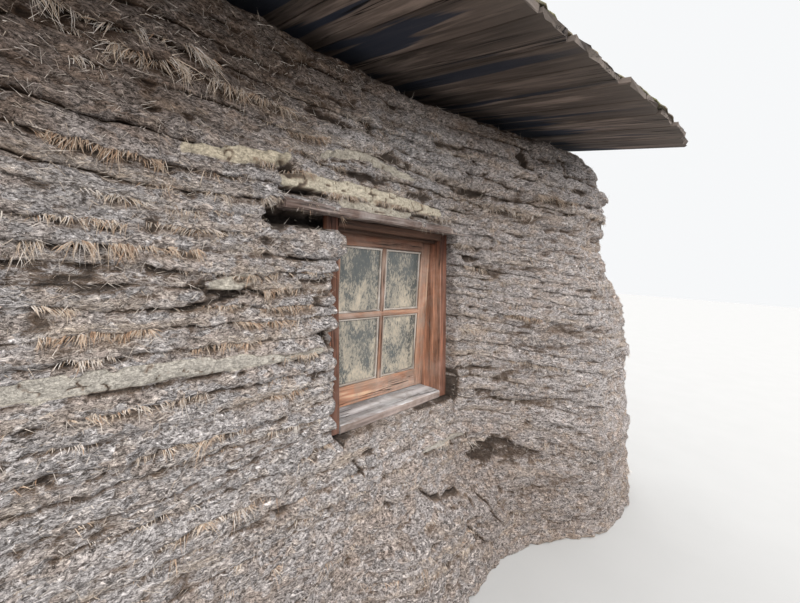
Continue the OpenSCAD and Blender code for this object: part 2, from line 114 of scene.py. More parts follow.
class SodSizes(bpy.types.PropertyGroup):
    """Sizes of the turf courses."""
    batter: FloatProperty(name="Batter", description="Outward lean of the walls per metre of height",
                          default=0.073, min=0.0, max=0.2)
    relief: FloatProperty(name="Course relief", description="How far the belly of a course stands out",
                          default=0.017, min=0.0, max=0.05, unit="LENGTH")
    hang: FloatProperty(name="Lip", description="How far the lower lip of a course hangs over its joint",
                        default=0.009, min=0.0, max=0.03, unit="LENGTH")
    erosion: FloatProperty(name="Erosion", description="Strength of the crumbling of the faces",
                           default=1.0, min=0.0, max=3.0, subtype="FACTOR")
    straw: IntProperty(name="Straw", description="Number of loose straws in the joints",
                       default=14500, min=0, max=19000)
    rootlets: IntProperty(name="Root hairs", description="Number of fine root hairs on the faces",
                          default=30000, min=0, max=45000)


class HouseColours(bpy.types.PropertyGroup):
    """Colours of the materials."""
    sod: FloatVectorProperty(name="Sod", description="Dry turf", subtype="COLOR", size=3,
                             default=(0.394, 0.366, 0.356), min=0, max=1)
    sod_dark: FloatVectorProperty(name="Sod joints", description="Turf in the joints", subtype="COLOR",
                                  size=3, default=(0.070, 0.054, 0.044), min=0, max=1)
    clay: FloatVectorProperty(name="Clay", description="Pale cracked clay sods", subtype="COLOR", size=3,
                              default=(0.400, 0.366, 0.325), min=0, max=1)
    straw: FloatVectorProperty(name="Straw", description="Dry grass and roots", subtype="COLOR", size=3,
                               default=(0.530, 0.425, 0.325), min=0, max=1)
    boards: FloatVectorProperty(name="Roof boards", description="Dark weathered planks", subtype="COLOR",
                                size=3, default=(0.122, 0.093, 0.078), min=0, max=1)
    joinery: FloatVectorProperty(name="Window wood", description="Reddish brown joinery", subtype="COLOR",
                                 size=3, default=(0.275, 0.132, 0.080), min=0, max=1)
    putty: FloatVectorProperty(name="Putty", description="Whitish putty and bleached wood",
                               subtype="COLOR", size=3, default=(0.560, 0.500, 0.440), min=0, max=1)


def sizes():
    """The sizes in the scene."""
    return bpy.context.scene.sod_sizes


def colours():
    """The colours in the scene."""
    return bpy.context.scene.sod_colours


# ---------------------------------------------------------------- random fields

def lattice(i, j, seed=0):
    """A fixed random number from -1 to 1 for a pair of whole numbers, by mixing their bits."""
    i, j = np.asarray(i).astype(np.int64), np.asarray(j).astype(np.int64)
    h = (i * 374761393 + j * 668265263 + seed * 974634777 + 12345) & 0xFFFFFFFF
    h = ((h ^ (h >> 13)) * 1274126177) & 0xFFFFFFFF
    h = ((h ^ (h >> 15)) * 1103515245) & 0xFFFFFFFF
    return (h ^ (h >> 16)) / 2147483647.5 - 1


def noise(u, v, seed=0):
    """A smooth random field from -1 to 1: the lattice numbers, blended by a smooth step both ways."""
    u, v = np.broadcast_arrays(np.asarray(u, float), np.asarray(v, float))
    i, j = np.floor(u), np.floor(v)
    a, b = u - i, v - j
    a, b = a * a * (3 - 2 * a), b * b * (3 - 2 * b)
    low = lattice(i, j, seed) * (1 - a) + lattice(i + 1, j, seed) * a
    high = lattice(i, j + 1, seed) * (1 - a) + lattice(i + 1, j + 1, seed) * a
    return low * (1 - b) + high * b


def ramp(v):
    """A smooth step from 0 to 1."""
    v = np.clip(v, 0, 1)
    return v * v * (3 - 2 * v)


# ---------------------------------------------------------------- form of the walls

def lean(z):
    """Outward offset of the face at height z: a straight batter and a flare at the foot."""
    return sizes().batter * (WALL_H - z) + FOOT_FLARE * np.maximum(0, 1 - z / FOOT_H) ** 2


def slump_share(z):
    """Share of the corner bulge at height z: least at the wall head, most at about half height."""
    return (0.62 + 0.2 * ramp((WALL_H - z) / 0.25) + 0.28 * ramp((HEAD_Z - z) / 0.5)
            - 0.16 * ramp((0.6 - z) / 0.6))


def slump_front(x, z):
    """Share of the bulge at distance x from the middle of a front or back wall."""
    start = OPEN_OUT - 0.56 * ramp((z - HEAD_Z) / 0.5)
    return slump_share(z) * ramp((np.abs(x) - start) / (X_TOP - start))


def face_y(x, side, z):
    """Offset of the front (side -1) or back (side 1) face: lean, bulge and the toe at the foot."""
    toe = TOE_D * ramp((np.abs(x) - OPEN_IN) / 0.3) * (1 - ramp((np.abs(x) - OPEN_OUT) / 0.5))
    toe = toe * ramp((TOE_H - z) / 0.13)
    bulge = np.where(side < 0, FRONT_SLUMP, BACK_SLUMP) * slump_front(x, z)
    return lean(z) + bulge + np.where(side < 0, toe, 0)


def face_x(y, z):
    """Offset of a gable face: lean and the bulge towards both corners."""
    grow = ramp((np.abs(y) - 0.3 * Y_IN) / (Y_TOP - 0.3 * Y_IN))
    return lean(z) + np.where(y < 0, FRONT_SLUMP, BACK_SLUMP) * slump_share(z) * grow


def plan(s, z):
    """Point of the smooth face at place s along the wall and height z. s runs from the middle of the
    front (0) round the right end to the middle of the back, and is negative round the left end. The
    corners are squarish ovals, followed by their polar angle."""
    s, z = np.broadcast_arrays(np.asarray(s, float), np.asarray(z, float))
    t = np.abs(s)
    r = CORNER_R

    def arc(p, side):
        """The corner oval at share p of the way from the long wall to the gable."""
        angle = (1 - p) * math.pi / 2
        a = r + face_x(side * (Y_TOP - r * ramp(2 * p - 1)), z)
        b = r + face_y(X_TOP - r * (1 - ramp(2 * p)), side, z)
        n = CORNER_POWER
        reach = (np.abs(np.cos(angle) / a) ** n + np.abs(np.sin(angle) / b) ** n) ** (-1 / n)
        return X_TOP - r + reach * np.cos(angle), side * (Y_TOP - r + reach * np.sin(angle))

    parts = [t < S1, t < S2, t < S3, t < S4]
    front = np.minimum(t, S1)
    ax, ay = arc(np.clip((t - S1) / ARC_FRONT, 0, 1), -1)
    gy = np.clip(t - S2, 0, S3 - S2) - (Y_TOP - r)
    bx, by = arc(1 - np.clip((t - S3) / ARC_BACK, 0, 1), 1)
    back = np.clip(S5 - t, -S1, S1)
    x = np.select(parts, [front, ax, X_TOP + face_x(gy, z), bx], back)
    y = np.select(parts, [-(Y_TOP + face_y(front, -1, z)), ay, gy, by], Y_TOP + face_y(back, 1, z))
    return np.where(s < 0, -x, x), y


def outward(s, z):
    """Outward normal of the plan at s, from the chord between two near places."""
    x0, y0 = plan(s - 0.01, z)
    x1, y1 = plan(s + 0.01, z)
    length = np.hypot(x1 - x0, y1 - y0) + 1e-9
    return (y1 - y0) / length, -(x1 - x0) / length


# Distance between the mesh's columns: at places along the right front, over the door, and elsewhere
NEAR_PLACES = [0.45, 0.8, 0.95, 1.8, 3.3, 4.4, 5.0]
NEAR_STEPS = [0.016, 0.009, 0.0052, 0.0056, 0.0082, 0.0095, 0.036]
DOOR_STEP, FAR_STEP = 0.020, 0.036


def spacing(s):
    """Distance between columns of the mesh: close on the right front, wide elsewhere."""
    near = np.interp(s, NEAR_PLACES, NEAR_STEPS)
    return np.where((s > 0.44) & (s < 5.0), near, np.where(np.abs(s) < 0.46, DOOR_STEP, FAR_STEP))


def stations(a, b):
    """Places from a to b at equal steps of the summed closeness of the columns."""
    fine = np.linspace(a, b, 3001)
    close = 1 / spacing(fine)
    total = np.concatenate([[0], np.cumsum((close[1:] + close[:-1]) / 2 * np.diff(fine))])
    return np.interp(np.linspace(0, total[-1], max(2, math.ceil(total[-1])) + 1), total, fine)


# ---------------------------------------------------------------- turf courses

# Rows of the mesh in one course, from its joint (0) up to the next one (1)
NEAR_ROWS = np.array([0.0, 0.05, 0.12, 0.22, 0.36, 0.52, 0.70, 0.87])
FAR_ROWS = np.array([0.0, 0.13, 0.40, 0.76])
# Section of a course: deep in the joint, sharp at its lower lip, sloping back to its top
SECTION_V = np.append(NEAR_ROWS, 1.0)
SECTION_OUT = [-0.75, -0.55, 0.45, 0.95, 1.0, 0.80, 0.50, 0.10, -0.75]
SECTION_HANG = [0.0, 0.35, 1.0, 0.75, 0.3, 0.1, 0.0, 0.0, 0.0]

# Pale clay sods: places s, heights z, half heights, tone
CLAY_SODS = [
    ([0.55, 0.80, 1.20, 1.38, 1.60, 1.74], [1.180, 1.181, 1.180, 1.176, 1.168, 1.172],
     [0.020, 0.026, 0.026, 0.022, 0.014, 0.016], 0.22),
    ([1.565, 1.62, 1.80, 2.05, 2.25, 2.45], [1.764, 1.768, 1.778, 1.781, 1.775, 1.772],
     [0.018, 0.029, 0.030, 0.028, 0.028, 0.016], 0.85),
    ([1.80, 1.95, 2.10, 2.24], [1.728, 1.722, 1.726, 1.732], [0.010, 0.018, 0.018, 0.010], 0.55),
    ([1.27, 1.36, 1.50, 1.62], [1.784, 1.797, 1.815, 1.840], [0.012, 0.020, 0.021, 0.014], 1.0),
    ([1.72, 1.80, 1.95, 2.12, 2.24], [1.872, 1.905, 1.925, 1.905, 1.885],
     [0.008, 0.015, 0.017, 0.015, 0.009], 0.5),
    ([1.34, 1.42, 1.50], [1.408, 1.425, 1.436], [0.012, 0.020, 0.012], 0.4),
    ([2.30, 2.42, 2.66], [0.602, 0.606, 0.598], [0.010, 0.015, 0.010], 0.1),
]

# Clods and sod ends that stand out, then hollows: place, height, half length, half height, how far out
CLODS = [
    (1.71, 1.575, 0.135, 0.062, 0.042), (1.545, 1.405, 0.04, 0.026, 0.02),
    (1.4, 1.412, 0.045, 0.024, 0.016), (1.6, 1.125, 0.055, 0.024, 0.018),
    (1.72, 1.118, 0.03, 0.026, 0.014), (1.7, 1.46, 0.08, 0.03, 0.018), (1.73, 1.27, 0.06, 0.024, 0.02),
    (1.72, 1.04, 0.06, 0.03, 0.022), (1.44, 0.965, 0.08, 0.02, 0.016), (1.1, 0.97, 0.1, 0.024, 0.012),
    (1.28, 0.93, 0.07, 0.022, 0.012), (1.04, 1.53, 0.13, 0.022, 0.014), (1.2, 1.61, 0.12, 0.02, 0.012),
    (2.87, 0.35, 0.11, 0.055, 0.045), (2.62, 0.19, 0.16, 0.05, 0.05), (2.98, 0.21, 0.16, 0.045, 0.045),
    (2.72, 0.6, 0.05, 0.04, 0.03), (2.93, 0.8, 0.13, 0.035, 0.024), (3.05, 1.12, 0.14, 0.04, 0.026),
    (2.86, 1.33, 0.11, 0.035, 0.022), (3.3, 1.45, 0.15, 0.04, 0.024), (2.78, 1.56, 0.09, 0.035, 0.022),
    (3.45, 0.95, 0.16, 0.05, 0.03), (1.88, 0.57, 0.12, 0.04, 0.024), (2.18, 0.7, 0.14, 0.026, 0.018),
    (2.05, 0.42, 0.15, 0.04, 0.026), (3.3, 2.12, 0.1, 0.05, 0.04), (3.6, 2.16, 0.12, 0.055, 0.055),
    (3.05, 2.07, 0.11, 0.04, 0.034), (3.42, 1.96, 0.13, 0.045, 0.038), (3.75, 2.02, 0.11, 0.05, 0.045),
    (3.15, 1.8, 0.12, 0.04, 0.034), (3.6, 1.78, 0.14, 0.045, 0.034), (3.04, 2.19, 0.12, 0.05, 0.06),
    (2.72, 2.04, 0.13, 0.045, 0.034), (2.45, 1.98, 0.12, 0.038, 0.028), (2.2, 2.06, 0.14, 0.04, 0.028),
    (1.95, 1.99, 0.12, 0.035, 0.024), (2.95, 1.95, 0.08, 0.05, 0.036), (2.22, 0.53, 0.2, 0.07, 0.026),
    (2.6, 0.26, 0.09, 0.08, 0.03), (2.44, 0.1, 0.13, 0.07, 0.03),
    # hollows
    (2.75, 0.47, 0.075, 0.06, -0.085), (2.82, 0.52, 0.08, 0.035, -0.06),
    (2.92, 0.462, 0.09, 0.03, -0.055), (2.875, 2.105, 0.035, 0.045, -0.06),
    (2.69, 1.56, 0.075, 0.02, -0.035), (2.8, 1.495, 0.1, 0.016, -0.03), (2.64, 1.9, 0.09, 0.018, -0.03),
    (2.6, 0.86, 0.022, 0.11, -0.04), (2.6, 1.25, 0.016, 0.06, -0.03), (3.3, 1.99, 0.09, 0.018, -0.03),
    (1.6, 1.808, 0.045, 0.026, -0.05), (1.96, 1.845, 0.16, 0.012, -0.027),
    (2.3, 1.83, 0.12, 0.012, -0.025), (2.12, 1.965, 0.15, 0.013, -0.028),
    (1.8, 2.03, 0.12, 0.012, -0.025), (2.42, 2.09, 0.11, 0.014, -0.028),
]

# Tufts that hang from the joints of the window wall: place, height, half length, straws (each tuft gets
# STRAW_SHARE times as many), length. Each tuft that isn't in the list has OTHER_TUFT straws.
STRAW_SHARE, OTHER_TUFT = 2.1, 22.0
TUFTS = [
    (1.1, 2.06, 0.1, 70, 0.06), (1.22, 2.02, 0.09, 70, 0.065), (1.33, 2.05, 0.05, 40, 0.05),
    (1.38, 1.99, 0.08, 50, 0.05), (1.55, 1.97, 0.1, 50, 0.045), (1.68, 1.93, 0.07, 40, 0.04),
    (1.12, 1.72, 0.13, 90, 0.04), (1.45, 1.7, 0.1, 45, 0.035), (1.2, 1.63, 0.13, 70, 0.032),
    (1.06, 1.58, 0.08, 40, 0.03), (1.3, 1.575, 0.1, 50, 0.03), (1.03, 1.5, 0.07, 60, 0.044),
    (1.19, 1.49, 0.07, 80, 0.046), (1.3, 1.48, 0.04, 30, 0.034), (1.48, 1.44, 0.09, 60, 0.04),
    (1.58, 1.4, 0.07, 50, 0.036), (1.02, 1.35, 0.04, 30, 0.03), (1.35, 1.36, 0.1, 40, 0.028),
    (1.1, 1.305, 0.11, 100, 0.04), (1.6, 1.34, 0.1, 70, 0.034), (1.52, 1.28, 0.1, 60, 0.03),
    (1.4, 1.22, 0.1, 50, 0.03), (1.07, 1.24, 0.05, 30, 0.026), (1.64, 1.2, 0.06, 40, 0.028),
    (1.6, 1.81, 0.12, 60, 0.03), (1.85, 1.745, 0.1, 60, 0.03), (2.1, 1.75, 0.12, 50, 0.028),
    (2.4, 1.73, 0.14, 60, 0.03), (2.66, 1.62, 0.07, 50, 0.034), (2.72, 1.5, 0.08, 40, 0.034),
    (2.85, 1.86, 0.16, 70, 0.045), (3.1, 1.95, 0.14, 60, 0.05), (2.7, 1.2, 0.08, 40, 0.036),
    (2.95, 1.24, 0.08, 40, 0.036), (3.05, 1.00, 0.1, 40, 0.034), (1.2, 1.12, 0.14, 60, 0.026),
    (1.55, 1.06, 0.12, 60, 0.026), (1.3, 0.95, 0.14, 60, 0.026), (1.62, 0.9, 0.1, 60, 0.026),
    (2.12, 0.758, 0.04, 24, 0.02), (2.00, 0.58, 0.16, 40, 0.022), (2.46, 0.628, 0.06, 40, 0.026),
    (2.21, 0.321, 0.05, 34, 0.03), (2.41, 0.165, 0.07, 40, 0.032), (1.3, 0.7, 0.1, 40, 0.024),
]

# Open cracks and cavities: points (place, height), half width, depth
CRACKS = [
    ([(1.56, 1.642), (1.66, 1.650), (1.80, 1.644)], 0.029, 0.115),
    ([(1.74, 1.235), (1.775, 1.195)], 0.017, 0.045),
    ([(1.79, 0.84), (1.84, 0.77)], 0.006, 0.020),
    ([(1.876, 0.705), (1.919, 0.641)], 0.006, 0.020),
    ([(2.242, 0.454), (2.320, 0.384), (2.484, 0.372)], 0.009, 0.035),
    ([(2.584, 0.331), (2.62, 0.25), (2.665, 0.177)], 0.006, 0.030),
    ([(2.445, 0.253), (2.534, 0.145)], 0.005, 0.025),
    ([(1.60, 1.735), (1.70, 1.742)], 0.010, 0.030),
    ([(1.20, 1.345), (1.40, 1.372), (1.50, 1.395)], 0.005, 0.020),
]

# Sod ends that lap over the window frame, at the opening's side nearer the door and the other one:
# height, half height, how far they reach over the frame
LAPS_IN = [(1.560, 0.062, 0.048), (1.47, 0.030, 0.012), (1.33, 0.035, 0.012), (1.27, 0.022, 0.018),
           (1.115, 0.040, 0.010), (1.045, 0.022, 0.020), (0.96, 0.040, 0.008), (0.87, 0.035, 0.014)]
LAPS_OUT = [(1.60, 0.040, 0.026), (1.51, 0.030, 0.010), (1.42, 0.030, 0.020), (0.95, 0.040, 0.006)]


def held_level(k, s):
    """How far line k is held level at s, from 0 to 1: over and under openings, at the foot and head."""
    t = np.abs(s)
    sill = ramp((t - OPEN_IN + 0.12) / 0.1) * ramp((OPEN_OUT + 0.12 - t) / 0.1)
    beam = ramp((t - OPEN_IN + BEARING + 0.1) / 0.1) * ramp((OPEN_OUT + BEARING + 0.1 - t) / 0.1)
    door = ramp((DOOR_HALF + BEARING + 0.1 - t) / 0.1)
    return np.select([k == APRON_LINE, k == LINTEL_LINE, k == DOOR_LINE, (k <= 0) | (k >= TOP_LINE)],
                     [sill, beam, door, 1.0], 0.0)


def course_line(k, s):
    """Height of course line k at s: its level, slow waves that neighbouring lines share, and the sag of
    the front corners; held level where an opening, the ground or the roof needs it."""
    k, s = np.broadcast_arrays(np.clip(k, 0, TOP_LINE), s)
    level = LEVELS[k.astype(int)]
    t = np.abs(s)
    wave = (0.020 * noise(s / 1.3, k / 7.0, 3) + 0.012 * noise(s / 0.42, k / 1.7, 4)
            + 0.0055 * noise(s / 0.11, k * 1.9, 5) + 0.0025 * noise(s / 0.035, k * 2.7, 6))
    place = s / 0.33 + 7 * lattice(k, 5, 7)
    here = np.floor(place)
    step = ramp((place - here - 0.90) / 0.10)
    wave = wave + 0.0075 * (lattice(here, k, 8) * (1 - step) + lattice(here + 1, k, 8) * step)
    sag = SLUMP_DROP * slump_front(np.minimum(t, X_TOP), level) * ramp(1 - (t - S2) / Y_TOP)
    seam = np.where(s > 0, S5 + X_IN, S5 - X_IN)
    fade = ramp(level / 0.25) * ramp((WALL_H - level) / 0.15)
    wave = wave * ramp(np.abs(t - seam) / 0.35)
    held = held_level(k, s)
    target = np.where(k == DOOR_LINE, DOOR_LINTEL_TOP - level, 0.0)
    return level + (1 - held) * fade * (wave - sag) + held * target


def tuft_line(place, level):
    """The course line nearest to a tuft's height."""
    return int(np.abs(course_line(np.arange(TOP_LINE + 1), place) - level).argmin())


def near_path(s, z, points):
    """Distance of each place (s, z) from a broken line."""
    best = np.full(np.broadcast_shapes(s.shape, z.shape), 9.0)
    for (a, b), (c, d) in zip(points[:-1], points[1:]):
        along = np.clip(((s - a) * (c - a) + (z - b) * (d - b)) / ((c - a) ** 2 + (d - b) ** 2), 0, 1)
        best = np.minimum(best, np.hypot(s - a - along * (c - a), z - b - along * (d - b)))
    return best


def weathered(s, k, v, z):
    """Relief of the courses at s and share v of course k, height z. Returns how far the face stands
    out, how far it hangs down, and masks for the material: tone of the sod, painted shade in the hollows,
    clay and straw.
    Each course is a section with a hanging lower lip; sods in it end in notches and stand unevenly;
    four sizes of crumbling are added; then the clay sods, clods and cracks of the window wall."""
    look = sizes()
    rough = look.erosion
    prominence = 0.72 + 0.55 * noise(s / 0.36, k * 3.7, 11) + 0.25 * noise(s / 0.13, k * 1.3, 17)
    lip = np.clip(prominence * (0.9 + 0.45 * noise(s / 0.055, k * 5.1, 12)), 0.05, 1.8)
    section = np.interp(v + 0.07 * noise(s / 0.09, k * 1.1, 16) * v * (1 - v) * 4, SECTION_V, SECTION_OUT)
    held = held_level(k, s) * (v < 0.3)
    over_beam = (k == LINTEL_LINE) * held * (v > 0.02)
    hang = np.interp(v, SECTION_V, SECTION_HANG) * look.hang * (1 - held) * lip * (
        1 + 0.8 * noise(s / 0.045, k * 2.9, 13) + 0.5 * noise(s / 0.016, k * 1.7, 14))
    hang = hang + over_beam * (0.018 + 0.009 * noise(s / 0.03, 0.0, 18)) * np.where(v > 0.15, 0.5, 1.0)

    # Round the slumped corner the face is shaggy, and above the window head lumpy
    shaggy = ramp((s - 2.55) / 0.6) * ramp((4.9 - s) / 0.5)
    lumpy = np.maximum(ramp((z - 1.68) / 0.15), 0.5 * shaggy)
    out = look.relief * lip * section * (1 - 0.66 * shaggy * ramp((2.0 - z) / 0.3))

    # Sods of about 0.4 m, each a little out of line, with a worn notch at its ends
    length = 0.38 + 0.08 * lattice(k, k * 0, 20)
    place = s / length + lattice(k, k * 0 + 3, 21) * 5 + 0.03 * noise(z / 0.013, s / 0.4, 27)
    sod = np.floor(place)
    end = np.minimum(place - sod, 1 - place + sod) * length
    own = lattice(sod, k, 22)
    out = out + 0.0085 * own * ramp(end / 0.02)

    # Each sod is matted from two or three strands
    strand = v * 2.7 + 0.55 * noise(s / 0.17, k * 2.2, 24) + lattice(sod, k, 25)
    thick_strand = 0.5 + 0.5 * noise(s / 0.24, k * 0.9, 26)
    thick_strand = thick_strand * ramp(v / 0.2) * ramp((1 - v) / 0.15)
    out = out + 0.0062 * (np.abs(np.sin(math.pi * strand)) - 0.7) * thick_strand
    notch = np.exp(-(end / 0.007) ** 2) * (0.5 + 0.5 * lattice(sod, k, 23)) * ramp(section + 0.6)
    out = out - 0.007 * notch

    # The course over a beam stands out
    out = out + over_beam * (0.032 + 0.006 * noise(s / 0.05, 0.0, 19))

    # Crumbling, coarse to fine; the fine ones bite into the face more than they stand out of it
    drift = s + 0.03 * noise(s / 0.2, z / 0.1, 30)
    coarse = 0.011 * noise(drift / 0.33, z / 0.17, 31) + 0.008 * noise(drift / 0.11, z / 0.055, 32)
    coarse = (1 + 0.8 * lumpy) * coarse
    middle = noise(drift / 0.038, z / 0.021, 33)
    fine = noise(s / 0.0150, z / 0.0115, 34)
    pits = np.maximum(0, noise(s / 0.045, z / 0.017, 35) - 0.30)
    out = out + rough * (coarse + 0.0062 * middle + 0.0036 * fine - 0.026 * pits * (1 + 0.8 * shaggy))
    crumbs = np.maximum(0, noise(s / 0.024, z / 0.016, 36) - 0.40)
    out = out + rough * 0.013 * crumbs

    # Clay sods: nearly flat, with cracks between their chips and a groove under them, both painted dark
    # with shade through the mask of painted shade
    clay, clay_tone, under = (np.zeros(out.shape) for _ in range(3))
    for places, heights, halves, own_tone in CLAY_SODS:
        middle_z = np.interp(s, places, heights) + 0.004 * noise(s / 0.06, 0.0, 41)
        half = np.interp(s, places, halves) * (1 + 0.18 * noise(s / 0.035, k * 0.0, 42))
        reach = ramp((s - places[0]) / 0.02) * ramp((places[-1] - s) / 0.02)
        inside = reach * (1 - ramp((np.abs(z - middle_z) - half) / 0.006 + 0.5))
        clay_tone = np.where(inside > clay, own_tone, clay_tone)
        shade = reach * np.exp(-((z - middle_z + half + 0.008) / 0.007) ** 2)
        clay, under = np.maximum(clay, inside), np.maximum(under, shade)
    chip = np.abs(noise(s / 0.055 + 0.7 * noise(z / 0.03, s / 0.09, 44), z / 0.05, 43))
    seams = np.exp(-(chip / 0.045) ** 2)
    flat = 0.013 + 0.003 * noise(s / 0.05, z / 0.03, 45) + 0.0012 * fine - 0.007 * seams
    out = out * (1 - clay) + clay * flat - 0.018 * under * (1 - clay)
    hang = hang * (1 - 0.8 * clay)

    # Clods and hollows: a dome, out or in, with a groove round it and below it
    for place_s, place_z, half_s, half_z, stand in CLODS:
        if not np.any(np.abs(s - place_s) < 3 * half_s):
            continue
        q = ((s - place_s) / half_s) ** 2 + ((z - place_z) / half_z) ** 2
        q = q * (1 + 0.3 * middle)
        dome = np.sqrt(np.clip(1 - q, 0, 1))
        out = out * (1 - 0.7 * dome * (stand > 0.030)) + stand * dome
        out = out - 0.010 * np.exp(-((q - 1.12) / 0.14) ** 2)
        below = ((s - place_s) / half_s) ** 2 + ((z - place_z + 1.1 * half_z) / 0.009) ** 2
        out = out - 0.012 * np.exp(-below)

    # Under each tuft a hole painted dark with shade, and a swelling over it; then the open cracks, painted
    # dark with shade too
    crack = np.zeros(out.shape)
    straw = np.clip(noise(s / 0.21, k * 4.1, 51) * 1.5 - 0.1, 0, 1) * (v < 0.4)
    for place_s, place_z, half_s, _, size in TUFTS:
        if not np.any(np.abs(s - place_s) < 2 * half_s):
            continue
        below = course_line(tuft_line(place_s, place_z), s) - z
        across = ((s - place_s) / half_s) ** 2
        hole = np.exp(-(across ** 2 + ((below - 0.35 * size) / (0.42 * size)) ** 2)) * (0.75 + 0.5 * middle)
        out = out - 0.30 * size * hole
        out = out + 0.22 * size * np.exp(-(across ** 2 + ((below + 0.012) / 0.014) ** 2))
        crack, straw = np.maximum(crack, 0.75 * hole), np.maximum(straw, 0.9 * hole)
    for points, half, depth in CRACKS:
        far = near_path(s, z, points) / (half * (1 + 0.5 * middle + 0.3 * fine))
        hole = np.exp(-far ** 4)
        crack = np.maximum(crack, hole)
        out = out - depth * hole

    # Masks: painted shade where the face lies behind the smooth face, in cracks and clay seams; sods differ
    # in tone
    smooth_out = look.relief * lip * 0.25 + rough * coarse
    hollow_shade = np.clip((smooth_out - out) / 0.018, 0, 1)
    hollow_shade = 0.84 * hollow_shade * (1 - clay) * (1 - 0.45 * shaggy * ramp((2.0 - z) / 0.3))
    hollow_shade = np.maximum(np.maximum(hollow_shade, crack), 0.8 * clay * seams)
    tone = 0.5 + 0.26 * own + 0.16 * noise(s / 0.16, k * 2.3, 46) + 0.12 * noise(s / 0.05, z / 0.03, 47)
    tone = tone + (clay_tone - tone) * clay
    return out, hang, tone, hollow_shade, clay, straw


def lap(s, z):
    """How far the ends of the sods beside an opening reach over its frame, with the door side of the
    window and the corner side apart. The reach ends 55 mm from the opening."""
    grain = 0.007 * noise(z / 0.022, 0.0, 61) + 0.006 * noise(z / 0.06, 0.0, 62)
    rise = ramp((z - APRON_Z - 0.005) / 0.03) * ramp((HEAD_Z - 0.004 - z) / 0.02)
    shift = np.zeros(np.broadcast_shapes(s.shape, z.shape))
    for edge, sense, laps in ((OPEN_IN, 1, LAPS_IN), (OPEN_OUT, -1, LAPS_OUT),
                              (-OPEN_OUT, 1, LAPS_OUT), (-OPEN_IN, -1, LAPS_IN)):
        reach = grain - 0.008
        for height, half, most in laps:
            reach = reach + most * np.exp(-((z - height) / half) ** 4)
        inside = sense * (edge - s)
        close = ramp(1 - inside / 0.055) * (inside > -1e-6)
        shift = shift + sense * reach * rise * close
    return shift


def skin(s, k, v):
    """Points and masks of the weathered face at place s and share v of course k, arrays that broadcast.
    The smooth face is moved along its outward normal by the relief and down by the hang."""
    s, k, v = np.broadcast_arrays(s, k, v)
    low, high = course_line(k, s), course_line(k + 1, s)
    z = low + v * (high - low)
    out, hang, tone, hollow_shade, clay, straw = weathered(s, k, v, z)
    ends = ramp(z / 0.03) * ramp((WALL_H - z) / 0.02)
    z = np.maximum(z - hang * ends, 0.0)
    x, y = plan(s, z)
    nx, ny = outward(s, z)
    along = np.where(np.abs(s) < S1, lap(s, z), 0.0)
    return np.stack([x + nx * out + along, y + ny * out, z], -1), (tone, hollow_shade, clay, straw)


# ---------------------------------------------------------------- mesh making

def put_mesh(name, points, quads, caps, masks, material, stands_for=(), smooth=True):
    """Puts numpy arrays into a mesh object that rides on the house: quads or triangles in one array, and
    caps as rings of vertex numbers. masks are the named numbers per vertex that the material reads, and
    the one named grain has three."""
    rings = [np.asarray(c) for c in caps]
    corners = np.concatenate([quads.ravel(), *rings]).astype(np.int32)
    sides = np.append(np.full(len(quads), quads.shape[1]), [len(c) for c in rings]).astype(np.int32)
    mesh = bpy.data.meshes.new(name)
    mesh.vertices.add(len(points))
    mesh.vertices.foreach_set("co", np.ascontiguousarray(points, np.float32).ravel())
    mesh.loops.add(len(corners))
    mesh.loops.foreach_set("vertex_index", corners)
    mesh.polygons.add(len(sides))
    mesh.polygons.foreach_set("loop_start", (np.cumsum(sides) - sides).astype(np.int32))
    mesh.polygons.foreach_set("use_smooth", (np.arange(len(sides)) < len(quads)) & smooth)
    mesh.update(calc_edges=True)
    for mask, values in masks.items():
        kind, key = ("FLOAT_VECTOR", "vector") if mask == "grain" else ("FLOAT", "value")
        layer = mesh.attributes.new(mask, kind, "POINT")
        layer.data.foreach_set(key, np.ascontiguousarray(values, np.float32).ravel())
    mesh.materials.append(material)
    piece = bpy.data.objects.new(name, mesh)
    bpy.context.scene.collection.objects.link(piece)
    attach(piece, "root")
    if stands_for:
        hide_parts(*stands_for)
    return piece


def grid_faces(columns, rows, closed=False):
    """Quads of a grid whose vertices are numbered column by column, its last column joined to the
    first if it is closed. They face outward where columns run to the right and rows run up."""
    i = np.arange(columns if closed else columns - 1)[:, None]
    j = np.arange(rows - 1)[None, :]
    a, b = i * rows + j, (i + 1) % columns * rows + j
    return np.stack([a, b, b + 1, a + 1], -1).reshape(-1, 4)


def tube_faces(columns, rows):
    """Quads of a closed grid, and the rings of its two ends."""
    foot = np.arange(columns) * rows
    return grid_faces(columns, rows, True), [foot[::-1], foot + rows - 1]


def inside_box(points):
    """The points, held 1 mm inside the box of the frame."""
    low, high = np.array(CAD_BOX)
    return np.clip(points, low + 0.001, high - 0.001)


# How the face is drawn in where a block ends at an opening: depth, and share of its relief that is left
DRAWN_IN = [(0.010, 0.92), (0.026, 0.55), (0.048, 0.10)]


